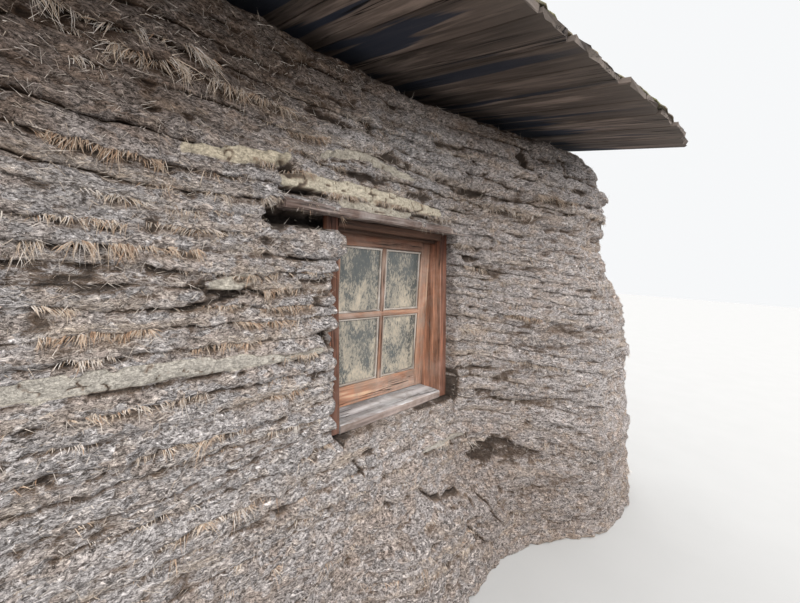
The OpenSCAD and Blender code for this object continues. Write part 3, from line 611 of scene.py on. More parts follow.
def turf_block(node, a, b, first, last, rows, inner, faced=(False, False)):
    """A closed block of turf courses from place a to b and from line first to last: the weathered face,
    its two ends, drawn in by steps where they face an opening, the inner side and level caps."""
    s = stations(a, b)
    k = np.concatenate([np.repeat(np.arange(first, last), len(rows)), [last]]).astype(float)
    v = np.concatenate([np.tile(rows, last - first), [0.0]])
    face, masks = skin(s[:, None], k[None, :], v[None, :])
    left, right = [], []
    for end, place, corner, found in ((0, a, inner[0], left), (-1, b, inner[-1], right)):
        edge = face[end]
        base = np.stack(plan(np.full(len(edge), place), edge[:, 2]), -1)
        way = np.array(corner)[None, :] - base
        way = way / np.linalg.norm(way, axis=1)[:, None]
        for depth, keep in (DRAWN_IN if faced[end] else []):
            xy = base + way * depth + (edge[:, :2] - base) * keep
            found.append(np.column_stack([xy, edge[:, 2]]))
        found.append(np.column_stack([np.tile(corner, (len(edge), 1)), np.maximum.accumulate(edge[:, 2])]))
    if len(inner) == 1:
        right.pop()
    columns = np.concatenate([np.array(left[::-1]), face, np.array(right).reshape(-1, len(k), 3)])
    filled = {}
    for name, values in zip(("tone", "hollow_shade", "clay", "straw"), masks):
        values = np.broadcast_to(values, face.shape[:2])
        ends = [np.repeat(values[:1], len(left), 0), values, np.repeat(values[-1:], len(right), 0)]
        filled[name] = np.concatenate(ends)
    points = inside_box(columns.reshape(-1, 3))
    points[:, 2] = columns[..., 2].ravel()
    faces, caps = tube_faces(len(columns), len(k))
    put_mesh(node + "_turf", points, faces, caps, filled, sod_material(), [node])


class SODHOUSE_OT_walls(bpy.types.Operator):
    """Lays the turf courses of the walls, one closed block for each wall node of the frame"""
    bl_idname = "sodhouse.walls"
    bl_label = "Turf walls"

    def execute(self, context):
        gable_a = S2 + Y_TOP - CORNER_R - Y_IN
        gable_b = S3 - (Y_TOP - CORNER_R - Y_IN)
        back = S5 - X_IN

        def along_front(node, a, b, first, last, rows, faced=(False, False)):
            """A block whose inner side lies straight behind it, in the front wall."""
            turf_block(node, a, b, first, last, rows, [(a, -Y_IN), (b, -Y_IN)], faced)

        for name, a, b, rows in (("right", OPEN_IN, OPEN_OUT, NEAR_ROWS),
                                 ("left", -OPEN_OUT, -OPEN_IN, FAR_ROWS)):
            along_front(name + "_window_apron", a, b, 0, APRON_LINE, rows)
            along_front(name + "_window_head", a, b, LINTEL_LINE, TOP_LINE, rows)
        along_front("door_head_sods", -DOOR_HALF, DOOR_HALF, DOOR_LINE, TOP_LINE, NEAR_ROWS)
        along_front("right_pier", DOOR_HALF, OPEN_IN, 0, TOP_LINE, NEAR_ROWS, (True, True))
        along_front("left_pier", -OPEN_IN, -DOOR_HALF, 0, TOP_LINE, FAR_ROWS, (True, True))
        front_right, front_left = (X_IN, -Y_IN), (-X_IN, -Y_IN)
        back_right, back_left = (X_IN, Y_IN), (-X_IN, Y_IN)
        for node, a, b, rows, inner, faced in (
                ("right_front_corner", OPEN_OUT, gable_a, NEAR_ROWS, [(OPEN_OUT, -Y_IN), front_right],
                 (True, False)),
                ("left_front_corner", -gable_a, -OPEN_OUT, FAR_ROWS, [front_left, (-OPEN_OUT, -Y_IN)],
                 (False, True)),
                ("right_gable_wall", gable_a, gable_b, FAR_ROWS, [front_right, back_right], (False, False)),
                ("left_gable_wall", -gable_b, -gable_a, FAR_ROWS, [back_left, front_left], (False, False)),
                ("right_back_corner", gable_b, back, FAR_ROWS, [back_right], (False, False)),
                ("left_back_corner", -back, -gable_b, FAR_ROWS, [back_left], (False, False)),
                ("back_wall", back, S5 + X_IN, FAR_ROWS, [back_right, back_left], (False, False))):
            turf_block(node, a, b, 0, TOP_LINE, rows, inner, faced)
        return {"FINISHED"}


# ---------------------------------------------------------------- materials

class Reading:
    """An output of a node in a shader tree. Arithmetic on it adds Math nodes, brackets pick another output
    of the same node, and each method adds the node that its text tells of."""

    def __init__(self, tree, socket):
        self.tree, self.socket = tree, socket

    def __getitem__(self, output):
        return Reading(self.tree, self.socket.node.outputs[output])

    def math(self, kind, other=0.5, clamp=False):
        """One step of arithmetic with another value."""
        return put(self.tree, "ShaderNodeMath", {0: self, 1: other}, operation=kind, use_clamp=clamp)

    def __add__(self, other):
        return self.math("ADD", other)

    def __sub__(self, other):
        return self.math("SUBTRACT", other)

    def __rsub__(self, other):
        return put(self.tree, "ShaderNodeMath", {0: other, 1: self}, operation="SUBTRACT")

    def __mul__(self, other):
        return self.math("MULTIPLY", other)

    def __pow__(self, other):
        return self.math("POWER", other)

    def __abs__(self):
        return self.math("ABSOLUTE")

    def most(self, other):
        """The larger of two values."""
        return self.math("MAXIMUM", other)

    def stretched(self, low, high, to_low=0.0, to_high=1.0, smooth=True):
        """Carries a value from one range to another and stops at its ends."""
        return put(self.tree, "ShaderNodeMapRange", {"Value": self, "From Min": low, "From Max": high,
                                                     "To Min": to_low, "To Max": to_high},
                   interpolation_type="SMOOTHSTEP" if smooth else "LINEAR")

    def mix(self, a, b, kind="MIX"):
        """Colour b over colour a, by this share."""
        return mixed(self.tree, self, a, b, kind)

    def times(self, tint):
        """This colour multiplied by another one, or by one value for all its channels."""
        if isinstance(tint, Reading) and tint.socket.type == "VALUE":
            tint = put(self.tree, "ShaderNodeCombineColor", {0: tint, 1: tint, 2: tint})
        return mixed(self.tree, 1.0, self, tint, "MULTIPLY")

    def scaled(self, scale, move=(0, 0, 0)):
        """These coordinates, stretched along the axes and moved."""
        return put(self.tree, "ShaderNodeMapping", {"Vector": self, "Scale": scale, "Location": move})

    def clouds(self, scale, detail=4.0, rough=0.6, distort=0.0):
        """A cloudy field from 0 to 1 on these coordinates."""
        return put(self.tree, "ShaderNodeTexNoise", {"Vector": self, "Scale": scale, "Detail": detail,
                                                     "Roughness": rough, "Distortion": distort})

    def cells(self, scale):
        """Cells on these coordinates, with the distance from their middles and a colour for each."""
        return put(self.tree, "ShaderNodeTexVoronoi", {"Vector": self, "Scale": scale}, feature="F1")

    def axis(self, number):
        """One of the three coordinates."""
        return put(self.tree, "ShaderNodeSeparateXYZ", {0: self})[number]


def feed(tree, socket, value):
    """Gives a socket a link or a plain value."""
    if isinstance(value, Reading):
        tree.links.new(value.socket, socket)
    else:
        socket.default_value = value


def put(tree, kind, inputs=None, **settings):
    """Adds a node with these settings and inputs, and reads its first output."""
    made = tree.nodes.new(kind)
    for key, value in settings.items():
        setattr(made, key, value)
    for key, value in (inputs or {}).items():
        feed(tree, made.inputs[key], value)
    return Reading(tree, made.outputs[0])


def mixed(tree, share, a, b, kind):
    """Mixes two colours; a plain one has three numbers."""
    a, b = (colour if isinstance(colour, Reading) else (*colour, 1.0) for colour in (a, b))
    return put(tree, "ShaderNodeMix", {0: share, 6: a, 7: b}, data_type="RGBA", blend_type=kind,
               clamp_factor=True)[2]


def toned(colour, factor):
    """A plain colour times a factor, each channel at most 1."""
    return tuple(min(1, c * factor) for c in colour)


def build_group(name, build, inputs, outputs):
    """A new shader node group. Each input is a number, or a vector if its default is None; build works
    out the outputs, one number each, from the inputs."""
    tree = bpy.data.node_groups.new(name, "ShaderNodeTree")
    for socket, value in inputs.items():
        kind = "NodeSocketVector" if value is None else "NodeSocketFloat"
        made = tree.interface.new_socket(socket, in_out="INPUT", socket_type=kind)
        if value is not None:
            made.default_value = value
    for socket in outputs:
        tree.interface.new_socket(socket, in_out="OUTPUT", socket_type="NodeSocketFloat")
    given = Reading(tree, tree.nodes.new("NodeGroupInput").outputs[0])
    out = tree.nodes.new("NodeGroupOutput")
    for socket, value in zip(outputs, build(tree, given)):
        feed(tree, out.inputs[socket], value)
    return tree


def use(tree, name, **inputs):
    """Places the shader node group of that name, built at its first use, with these inputs."""
    made = bpy.data.node_groups.get(name) or build_group(name, *EFFECTS[name])
    return put(tree, "ShaderNodeGroup", inputs, node_tree=made)


def root_hairs(tree, given):
    """Root hairs: thin winding lines where a warped field passes its middle value, broken by a second
    field so that they come as short pieces."""
    away = abs(given["Vector"].clouds(given["Scale"], 1.5, 0.5, 0.9) - 0.5)
    line = away.stretched(0.0, given["Width"], 1.0, 0.0, smooth=False)
    broken = given["Vector"].clouds(given["Scale"] * 0.45, 1.0, 0.5).stretched(0.44, 0.56)
    return [line * broken]


def wood_grain(tree, given):
    """Wood grain on coordinates whose x runs along the plank: long streaks, finer fibres, narrow drying
    cracks and knots with rings bent round them."""
    where = put(tree, "ShaderNodeVectorMath", {0: given["Vector"], "Scale": given["Fineness"]},
                operation="SCALE")
    from_knot = where.scaled((1.9, 5.0, 5.0)).cells(1.0)["Distance"]
    knots = from_knot.stretched(0.05, 0.17, 1.0, 0.0)
    bend = from_knot.stretched(0.0, 0.55, 0.35, 0.0)
    aside = put(tree, "ShaderNodeCombineXYZ", {0: 0.0, 1: bend, 2: bend})
    bent = put(tree, "ShaderNodeVectorMath", {0: where.scaled((1.0, 20.0, 20.0)), 1: aside}, operation="ADD")
    streaks = bent.clouds(1.6, 4.0, 0.6, 0.25)
    fibres = where.scaled((7.0, 260.0, 260.0)).clouds(1.0, 3.0, 0.6, 0.1)
    crack_field = where.scaled((1.3, 46.0, 46.0), (3.0, 1.0, 7.0)).clouds(1.0, 2.0, 0.5, 0.2)
    cracks = abs(crack_field - 0.5).stretched(0.0, 0.028, 1.0, 0.0)
    gate = where.scaled((2.0, 9.0, 9.0)).clouds(1.0, 1.0).stretched(0.50, 0.62)
    return streaks, fibres, cracks * gate, knots


def dust_film(tree, given):
    """Dust and earth stains: soft blotches with a speckled edge."""
    full = 0.95 - given["Amount"] * 0.6
    return [given["Vector"].clouds(given["Scale"], 6.0, 0.7, 0.4).stretched(full - 0.25, full)]


def matted_fibres(tree, given):
    """Matted roots: cells a few centimetres wide, each tilted by its own angle, in which a field of thin
    sheets cuts the surface in near-parallel fibres. The other outputs give each cell a number, and finer
    threads along the fibres."""
    push = given["Vector"].clouds(45.0, 2.0, 0.5)["Color"]
    warped = put(tree, "ShaderNodeVectorMath", {0: push, 1: (0.022, 0.022, 0.022), 2: given["Vector"]},
                 operation="MULTIPLY_ADD")
    cell = warped.scaled((1.0, 1.0, 1.9)).cells(given["Cells"])["Color"]
    number = put(tree, "ShaderNodeSeparateColor", {0: cell})[2]
    axis = put(tree, "ShaderNodeVectorMath", {0: cell, 1: (0.5, 0.5, 0.42)}, operation="SUBTRACT")
    turned = put(tree, "ShaderNodeVectorRotate", {"Vector": warped, "Axis": axis,
                                                  "Angle": (number - 0.5) * (given["Tilt"] * 3.0)},
                 rotation_type="AXIS_ANGLE")
    sheets = turned.scaled((0.11, 0.11, 1.0)).clouds(given["Fibres"], 2.0, 0.7)
    threads = turned.scaled((0.17, 0.17, 1.0), (3, 1, 2)).clouds(given["Fibres"], 4.0, 0.9)
    return sheets.stretched(0.51, 0.63), number, threads


# The effects that materials share: function, inputs with their defaults, outputs
EFFECTS = {
    "root_hairs": (root_hairs, {"Vector": None, "Scale": 60.0, "Width": 0.02}, ["Mask"]),
    "wood_grain": (wood_grain, {"Vector": None, "Fineness": 1.0}, ["Streaks", "Fibres", "Cracks", "Knots"]),
    "dust_film": (dust_film, {"Vector": None, "Scale": 6.0, "Amount": 0.5}, ["Mask"]),
    "matted_fibres": (matted_fibres, {"Vector": None, "Cells": 30.0, "Fibres": 200.0, "Tilt": 1.0},
                      ["Mask", "Cell", "Thread"]),
}


def begin_material(name):
    """A material with an empty tree, its Principled shader and output, and Object coordinates."""
    material = bpy.data.materials.new(name)
    material.use_nodes = True
    tree = material.node_tree
    tree.nodes.clear()
    shader = tree.nodes.new("ShaderNodeBsdfPrincipled")
    tree.links.new(shader.outputs[0], tree.nodes.new("ShaderNodeOutputMaterial").inputs[0])
    return material, tree, shader, put(tree, "ShaderNodeTexCoord")["Object"]


def finish_surface(tree, shader, colour, rough, height=None, depth=0.003, strength=1.0, gloss=0.5):
    """Gives the shader its colour, roughness and specular level, and a bump from a height field."""
    feed(tree, shader.inputs["Base Color"], colour)
    feed(tree, shader.inputs["Roughness"], rough)
    shader.inputs["Specular IOR Level"].default_value = gloss
    if height is not None:
        bump = put(tree, "ShaderNodeBump", {"Height": height, "Strength": strength, "Distance": depth})
        feed(tree, shader.inputs["Normal"], bump)


def mask_of(tree, name):
    """A number stored on the mesh."""
    return put(tree, "ShaderNodeAttribute", attribute_name=name)["Fac"]


def grain_of(tree):
    """The coordinates along, across and through the wood, stored on the mesh."""
    return put(tree, "ShaderNodeAttribute", attribute_name="grain")["Vector"]


@cache
def sod_material():
    """Dry turf: grey-brown earth full of dark pits, matted with pale roots in all directions, warm and
    strawy in places, with clay sods, painted glints and shade along the matted threads, and painted shade
    in the hollows and below the eaves; darker towards the foot."""
    look = colours()
    material, tree, shader, where = begin_material("dry_turf")
    tone, hollow_shade, clay, straw = (mask_of(tree, mask) for mask in ("tone", "hollow_shade", "clay", "straw"))
    earth, dark = tuple(look.sod), tuple(look.sod_dark)

    # Fields: patches, clods, grit, pits, and matted fibres of two sizes, whose threads give painted glints
    # and shade
    broad = where.clouds(2.6, 4.0, 0.65)
    clods = where.scaled((1, 1, 1.6)).clouds(30.0, 6.0, 0.70, 0.3)
    grit = where.clouds(130.0, 6.0, 0.80)
    pits = where.scaled((1, 1, 1.5), (4, 1, 2)).clouds(84.0, 4.0, 0.75, 0.6).stretched(0.40, 0.49, 1.0, 0.0)
    coarse = use(tree, "matted_fibres", Vector=where, Cells=24.0, Fibres=190.0, Tilt=0.55)
    fine = use(tree, "matted_fibres", Vector=where.scaled((1, 1, 1), (7, 3, 5)), Cells=46.0, Fibres=340.0,
               Tilt=1.0)
    glints_and_shade = (coarse["Thread"] * 0.55 + fine["Thread"] * 0.45).stretched(0.41, 0.59, 0.36, 1.70, False)
    fibres = coarse["Mask"].most(fine["Mask"] * 0.85) * tone.stretched(0.60, 0.80, 1.0, 0.55)

    # Earth, warmer in patches, with pits, roots and straw
    light = tone * 0.42 + clods * 1.1 + (grit - 0.5) * 1.3
    colour = light.stretched(0.46, 1.06, smooth=False).mix(toned(earth, 0.40), toned(earth, 1.26))
    warm = broad * 0.7 + coarse["Cell"] * 0.3
    colour = warm.stretched(0.46, 0.66, 0.0, 0.8).mix(colour, colour.times((1.0, 0.87, 0.77)))
    colour = (pits * 0.86).mix(colour, dark)
    warm_root = tuple(0.5 * a + 0.85 * b for a, b in zip(look.straw, earth))
    colour = (fibres * 0.80).mix(colour, warm.stretched(0.40, 0.65).mix(toned(earth, 1.74), warm_root))
    strawy = straw.math("MULTIPLY", fibres * 0.7 + 0.3, clamp=True)
    colour = (strawy * 0.65).mix(colour, tuple(look.straw))

    # Clay sods, paler and smoother
    dry = (grit * 0.6 + clods * 0.4).stretched(0.36, 0.62).mix(toned(look.clay, 0.62), toned(look.clay, 1.18))
    dry = dry.times(tone.mix((0.88, 0.90, 0.93), (1.37, 1.32, 1.14)))
    clay = clay.stretched(0.36, 0.60)
    colour = clay.mix(colour, dry)
    # Painted glints and shade along the matted threads, faint on the clay sods
    colour = colour.times(glints_and_shade * (1.0 - clay * 0.7) + clay * 0.7)

    # Painted shade in the hollows: rusty at their rims, then dark, nearly black in the deepest
    rusty_rim_shade = hollow_shade.stretched(0.10, 0.60, 0.0, 0.80) * fibres.stretched(0, 1, 1.0, 0.45)
    colour = rusty_rim_shade.mix(colour, (0.180, 0.120, 0.080))
    colour = hollow_shade.stretched(0.38, 0.84, 0.0, 0.90).mix(colour, dark)
    colour = hollow_shade.stretched(0.86, 1.0, 0.0, 0.85).mix(colour, (0.010, 0.008, 0.007))

    # Painted shade under the eaves, most above the window, and in the bend of the slumped corner, kept
    # off the clay sods; darker towards the foot
    along, high = where.axis(0), where.axis(2)
    inner = along.stretched(1.1, 2.2, 0.39, 0.0) + along.stretched(2.9, 3.4, 0.0, -0.15)
    shade_and_darkening = (high + inner + broad * 0.35).stretched(2.15, 2.54, 1.0, 0.46)
    shade_and_darkening = shade_and_darkening * high.stretched(0.1, 0.9, 0.82, 1.0)
    bend = along.stretched(2.35, 2.60) * along.stretched(2.90, 3.25, 0.14, 0.08)
    shade_and_darkening = shade_and_darkening.most(clay * 0.9) * (1.0 - bend)
    colour = colour.times(put(tree, "ShaderNodeCombineColor", {0: shade_and_darkening, 1: shade_and_darkening ** 1.20, 2: shade_and_darkening ** 1.36}))

    height = (clods + grit * 0.55 + fibres * 0.30 - pits * 0.45) * (1.0 - clay * 0.6)
    finish_surface(tree, shader, colour, 0.95, height, 0.012, gloss=0.15)
    return material


# ---------------------------------------------------------------- planks and boards

ACROSS = 7  # points across each broad side of a plank


def planks(name, start, along, across, up, length, width, thick, material, stands_for, seed, cuts,
           splinter=0.0, chamfer=0.003, bow=0.002, wave=0.0012, skew=0.0):
    """A group of planks as one mesh. Each is a rectangle with worn corners, carried from its start along
    its length; slow noise bows it, its end is splintered by a saw of noise over its width, and the mask
    worn grows towards that end. The vector mask grain runs along, across and through each plank."""
    start = np.atleast_2d(np.array(start, float))
    count = len(start)
    length, width, thick = (np.broadcast_to(np.asarray(q, float), (count,)) for q in (length, width, thick))
    along, across, up = (np.broadcast_to(np.asarray(q, float), (count, 3)) for q in (along, across, up))
    flat = np.linspace(-0.5, 0.5, ACROSS)
    c = np.minimum(chamfer, 0.25 * thick)
    inner_w = width - 2 * c
    a = np.concatenate([flat[None] * inner_w[:, None], width[:, None] / 2 * np.ones((1, 2)),
                        -flat[None] * inner_w[:, None], -width[:, None] / 2 * np.ones((1, 2))], 1)
    low, high = c[:, None], (thick - c)[:, None]
    h = np.concatenate([np.zeros((count, ACROSS)), low, high, np.tile(thick[:, None], ACROSS), high, low], 1)
    u = np.concatenate([[0, 0.004], np.linspace(0, 1, cuts + 1)[1:-1], [0.985, 0.996, 1.0]])
    n, m = a.shape[1], len(u)
    p = np.arange(count)[:, None, None] + seed * 17.0
    aa, hh = a[:, :, None], h[:, :, None]
    saw = splinter * (0.5 + 0.5 * noise(aa / 0.030, p * 3.1, seed + 1)) + 0.5 * splinter * np.abs(
        noise(aa / 0.009, p * 1.7 + hh * 40, seed + 2))
    end = length[:, None, None] - saw - np.reshape(skew, (-1, 1, 1)) * aa
    x = u[None, None, :] * end
    sway = bow * noise(x / 0.9, p * 2.3, seed + 4)
    aw = aa * (1 + 0.012 * noise(x / 0.35, p, seed + 5)) + 0.6 * bow * noise(x / 0.7, p * 1.9, seed + 6)
    rough = noise(x / 0.10, aa / 0.018 + p * 5, seed + 7) + 0.5 * noise(x / 0.03, aa / 0.006 + p, seed + 8)
    rough = wave * rough
    hw = hh + sway + np.where(hh > thick[:, None, None] / 2, rough, -rough)
    points = start[:, None, None] + x[..., None] * along[:, None, None]
    points = points + aw[..., None] * across[:, None, None] + hw[..., None] * up[:, None, None]
    grain = np.stack([x + p * 1.37, aw + p * 0.71, hw + p * 0.53], -1)
    one, rings = tube_faces(n, m)
    base = np.arange(count) * n * m
    quads = (one[None] + base[:, None, None]).reshape(-1, 4)
    caps = [ring + first for first in base for ring in rings]
    worn = np.exp(-(end - x) / 0.10) * (splinter > 0)
    shade = np.broadcast_to(0.5 + 0.5 * lattice(p, 0 * p + 5, seed), x.shape)
    put_mesh(name, points.reshape(-1, 3), quads, caps, {"shade": shade, "worn": worn, "grain": grain},
             material, stands_for, smooth=False)


@cache
def wood(name, base, pale, grey=0.3, rough=0.75, fineness=1.0, streak=1.0, dirt=0.3, depth=0.0025,
         front=None, head=False):
    """Old wood: grain streaks from dark to pale, fine fibres, drying cracks, knots, a greyed weather side
    and dust, along the plank's own grain coordinates. front is a tint of painted shade for the faces that
    look out of the wall; with head, painted shade darkens the wood near a window's head, under its lintel."""
    material, tree, shader, where = begin_material(name)
    grain = use(tree, "wood_grain", Vector=grain_of(tree), Fineness=fineness)
    streaks, fibres, cracks = grain["Streaks"], grain["Fibres"], grain["Cracks"]
    colour = streaks.stretched(0.34, 0.66).mix(toned(base, 0.38), base)
    colour = (streaks.stretched(0.54, 0.74) * streak).mix(colour, pale)
    colour = (fibres.stretched(0.52, 0.70) * 0.35).mix(colour, pale)
    colour = colour.times(mask_of(tree, "shade") * 0.5 + 0.72)
    silver = tuple(0.55 * (sum(pale) / 3) + 0.45 * c for c in pale)
    greyed = where.clouds(3.3, 5.0, 0.7, 0.5).stretched(0.42, 0.68) * grey
    greyed = greyed.math("ADD", mask_of(tree, "worn") * 0.75, clamp=True)
    colour = greyed.mix(colour, silver)
    colour = (grain["Knots"] * 0.75).mix(colour, toned(base, 0.28))
    film = use(tree, "dust_film", Vector=where, Scale=9.0, Amount=dirt)
    colour = (film * 0.55).mix(colour, (0.20, 0.165, 0.135))
    colour = (cracks * 0.85).mix(colour, (0.012, 0.009, 0.008))
    if head:
        # Painted shade under the lintel, over the wood near the window's head
        lintel_shade = where.axis(2).stretched(HEAD_Z - 0.20, HEAD_Z - 0.06, 0.0, 0.90)
        colour = lintel_shade.mix(colour, colour.times((0.34, 0.24, 0.20)))
    if front:
        # Painted shade: the faces that look out of the wall are tinted darker
        facing = put(tree, "ShaderNodeNewGeometry")["True Normal"].axis(1)
        colour = facing.stretched(-0.9, -0.6, 1.0, 0.0).mix(colour, colour.times(front))
    finish_surface(tree, shader, colour, (film * 0.15).math("ADD", rough, clamp=True),
                   streaks * 0.5 + fibres * 0.45 - cracks * 1.4, depth, gloss=0.25)
    return material


# ---------------------------------------------------------------- roof

# Slope, thickness and width of the boards, overhang at the verges; overhang at the middle of an eave and
# how much more at its ends, how ragged the ends are, and how far the turf stays back
PITCH, BOARD_T, BOARD_W, VERGE = math.radians(7.2), 0.024, 0.186, 0.10
EAVE_MID, EAVE_END, RAGGED, SETBACK = 0.67, 0.24, 0.034, 0.045
RIDGE_Z = float(span("front_roof_boards")[1][2]) - BOARD_T * math.cos(PITCH)
ROOF_TOP = float(span("front_roof_sod")[1][2])


def eave_y(x):
    """Distance of the eave from the ridge in plan: longer towards the verges."""
    return Y_TOP + EAVE_MID + EAVE_END * ramp((np.abs(x) - 0.5 * X_TOP) / (0.5 * X_TOP))


class SODHOUSE_OT_roof_boards(bpy.types.Operator):
    """Lays the roof planks from the ridge to the two eaves, with gaps and splintered ends"""
    bl_idname = "sodhouse.roof_boards"
    bl_label = "Roof boards"

    def execute(self, context):
        material = roof_board_material()
        verge_x = X_TOP + VERGE
        count = round(2 * verge_x / BOARD_W)
        step = 2 * verge_x / count
        i = np.arange(count)
        x = -verge_x + (i + 0.5) * step
        reach = (eave_y(x) - RAGGED * (0.30 + 0.16 * np.sin(np.radians(i * 137 + 40)))) / math.cos(PITCH)
        gap = 0.006 + 0.004 * lattice(i, i * 0, 70)
        slant = (eave_y(np.abs(x) + 0.05) - eave_y(np.abs(x) - 0.05)) / 0.1 * np.sign(x)
        skew = -0.65 * slant + 0.05 * lattice(i, i * 0, 71)
        for name, side, cuts in (("front", -1, 20), ("back", 1, 10)):
            along = (0, side * math.cos(PITCH), -math.sin(PITCH))
            up = (0, side * math.sin(PITCH), math.cos(PITCH))
            place = x if side < 0 else -x
            starts = np.stack([place, 0 * x, RIDGE_Z + 0 * x], -1) + np.array(up) * 0.0005
            planks(name + "_roof_boards_laid", starts, along, (-side, 0, 0), up, reach - 0.004, step - gap,
                   BOARD_T - 0.002, material, [name + "_roof_boards"], 70 + side, cuts,
                   splinter=0.022, bow=0.0, wave=0.0008, skew=skew)
        return {"FINISHED"}


@cache
def roof_board_material():
    """Dark roof planks: brown grain, soaked bluish black stains along them, spread wider near the wall as
    painted shade, and pale streaks, bleached towards the eave ends."""
    material, tree, shader, where = begin_material("dark_roof_planks")
    grain = use(tree, "wood_grain", Vector=grain_of(tree), Fineness=0.8)
    brown = tuple(colours().boards)
    colour = grain["Streaks"].stretched(0.30, 0.68).mix(toned(brown, 0.40), brown)
    light = where.scaled((14.0, 1.1, 3.0)).clouds(1.0, 5.0, 0.65, 0.2).stretched(0.47, 0.64) * 0.85
    colour = light.mix(colour, toned(brown, 2.1))
    # Stains along the boards, with painted shade: more of them near the wall, fewer towards the eave
    from_ridge = abs(where.axis(1))
    stains_and_shade = where.scaled((11.0, 0.70, 2.0), (3, 1, 4)).clouds(1.0, 3.0, 0.5, 0.25)
    stains_and_shade = (stains_and_shade + from_ridge.stretched(2.5, 3.25, 0.03, -0.07)).stretched(0.525, 0.575)
    colour = (stains_and_shade * 0.92).mix(colour, (0.020, 0.026, 0.042))
    colour = colour.times(mask_of(tree, "shade") * 0.6 + 0.65)
    colour = (mask_of(tree, "worn") * 0.7).mix(colour, (0.130, 0.110, 0.096))
    colour = grain["Cracks"].mix(colour, (0.006, 0.005, 0.005))
    finish_surface(tree, shader, colour, 0.85, grain["Fibres"] * 0.6 - grain["Cracks"], gloss=0.2)
    return material


@cache
def roof_sod_material():
    """Roof turf: brown earth with moss, root hairs and painted shade in its hollows."""
    material, tree, shader, where = begin_material("roof_turf")
    tone, hollow_shade = mask_of(tree, "tone"), mask_of(tree, "hollow_shade")
    clods, grit = where.clouds(17.0, 6.0, 0.68, 0.3), where.clouds(120.0, 5.0, 0.75)
    hairs = use(tree, "root_hairs", Vector=where, Scale=48.0, Width=0.045)
    earth = (clods * 0.6 + grit * 0.4).stretched(0.32, 0.68)
    colour = earth.mix((0.075, 0.060, 0.045), (0.270, 0.235, 0.185))
    moss = (where.clouds(4.5, 5.0, 0.65) * 0.8 + tone * 0.2).stretched(0.47, 0.60)
    colour = (moss * 0.75).mix(colour, grit.mix((0.070, 0.085, 0.028), (0.200, 0.205, 0.085)))
    colour = (hairs * 0.7).mix(colour, (0.40, 0.32, 0.21))
    # Painted shade in the cracks and dips of the turf, and on the skirt round its rim
    colour = (hollow_shade * 0.7).mix(colour, (0.045, 0.036, 0.028))
    finish_surface(tree, shader, colour, 0.95, clods + grit * 0.45, 0.014, gloss=0.15)
    return material


class SODHOUSE_OT_roof_sod(bpy.types.Operator):
    """Spreads the lumpy turf over both slopes of the roof, crumbling at the eaves and verges"""
    bl_idname = "sodhouse.roof_sod"
    bl_label = "Roof turf"

    def execute(self, context):
        for name, side in (("front", -1), ("back", 1)):
            self.blanket(name, side)
        return {"FINISHED"}

    def blanket(self, name, side):
        """One slope: a sheet on the planks, raised by lumps of four sizes and cut by cracks, thin at its
        ragged rim. A skirt and a flat underside close it."""
        nx, ny = (230, 92) if side < 0 else (150, 62)
        half = X_TOP + VERGE - SETBACK
        across = np.linspace(-1, 1, nx)[:, None]
        down = np.linspace(0, 1, ny)[None, :] ** 0.85 + 0 * across
        rim_x = 0.016 * noise(down / 0.020, side, 80) + 0.008 * noise(down / 0.006, side, 81)
        x = across * half + np.sign(across) * np.abs(across) ** 12 * rim_x
        edge_y = (eave_y(x) - 0.020 - 0.014 * (1 + noise(x / 0.16, side, 82))
                  + 0.008 * noise(x / 0.035, side, 83))
        y = side * down * edge_y
        inside = np.minimum((1 - np.abs(across)) * half, (1 - down) * 3.0)
        body = ramp(inside / 0.10)
        lumps = (0.011 * noise(x / 0.42, y / 0.37, 84) + 0.008 * noise(x / 0.13, y / 0.12, 85)
                 + 0.0050 * noise(x / 0.045, y / 0.045, 86) + 0.0025 * noise(x / 0.034, y / 0.033, 87))
        cracks = np.exp(-(noise(x / 0.30, y / 0.26, 88) / 0.05) ** 2)
        height = 0.022 + 0.030 * body + (0.35 + 0.65 * body) * lumps - 0.010 * cracks * body
        height = np.maximum(height * ramp(0.35 + inside / 0.05), 0.006)
        plane = RIDGE_Z - math.tan(PITCH) * np.abs(y) + BOARD_T / math.cos(PITCH)
        z = np.minimum(plane + height / math.cos(PITCH), ROOF_TOP - 0.001)
        top = np.stack([x, y, z], -1).reshape(-1, 3)
        ring = np.concatenate([np.arange(nx) * ny, (nx - 1) * ny + np.arange(1, ny),
                               (np.arange(nx - 1) * ny + ny - 1)[::-1], np.arange(1, ny - 1)[::-1]])
        under = top[ring].copy()
        under[:, 2] = plane.ravel()[ring] - 0.0004
        if side < 0:
            ring = ring[::-1]
            under = under[::-1]
        faces = grid_faces(nx, ny)
        if side < 0:
            faces = faces[:, ::-1]
        m = len(ring)
        low = nx * ny + np.arange(m)
        skirt = np.stack([low, np.roll(low, -1), np.roll(ring, -1), ring], -1)
        # Painted shade: in the cracks and dips, and on the skirt round the rim
        hollow_shade = np.clip(cracks * body + np.clip(-lumps / 0.016, 0, 1) * 0.5, 0, 1)
        masks = {"tone": np.append((0.5 + 25 * lumps).ravel(), np.full(m, 0.5)),
                 "hollow_shade": np.append(hollow_shade.ravel(), np.full(m, 0.6))}
        put_mesh(name + "_roof_turf", np.concatenate([top, under]), np.concatenate([faces, skirt]),
                 [low[::-1]], masks, roof_sod_material(), [name + "_roof_sod"])


# ---------------------------------------------------------------- logs, window and door

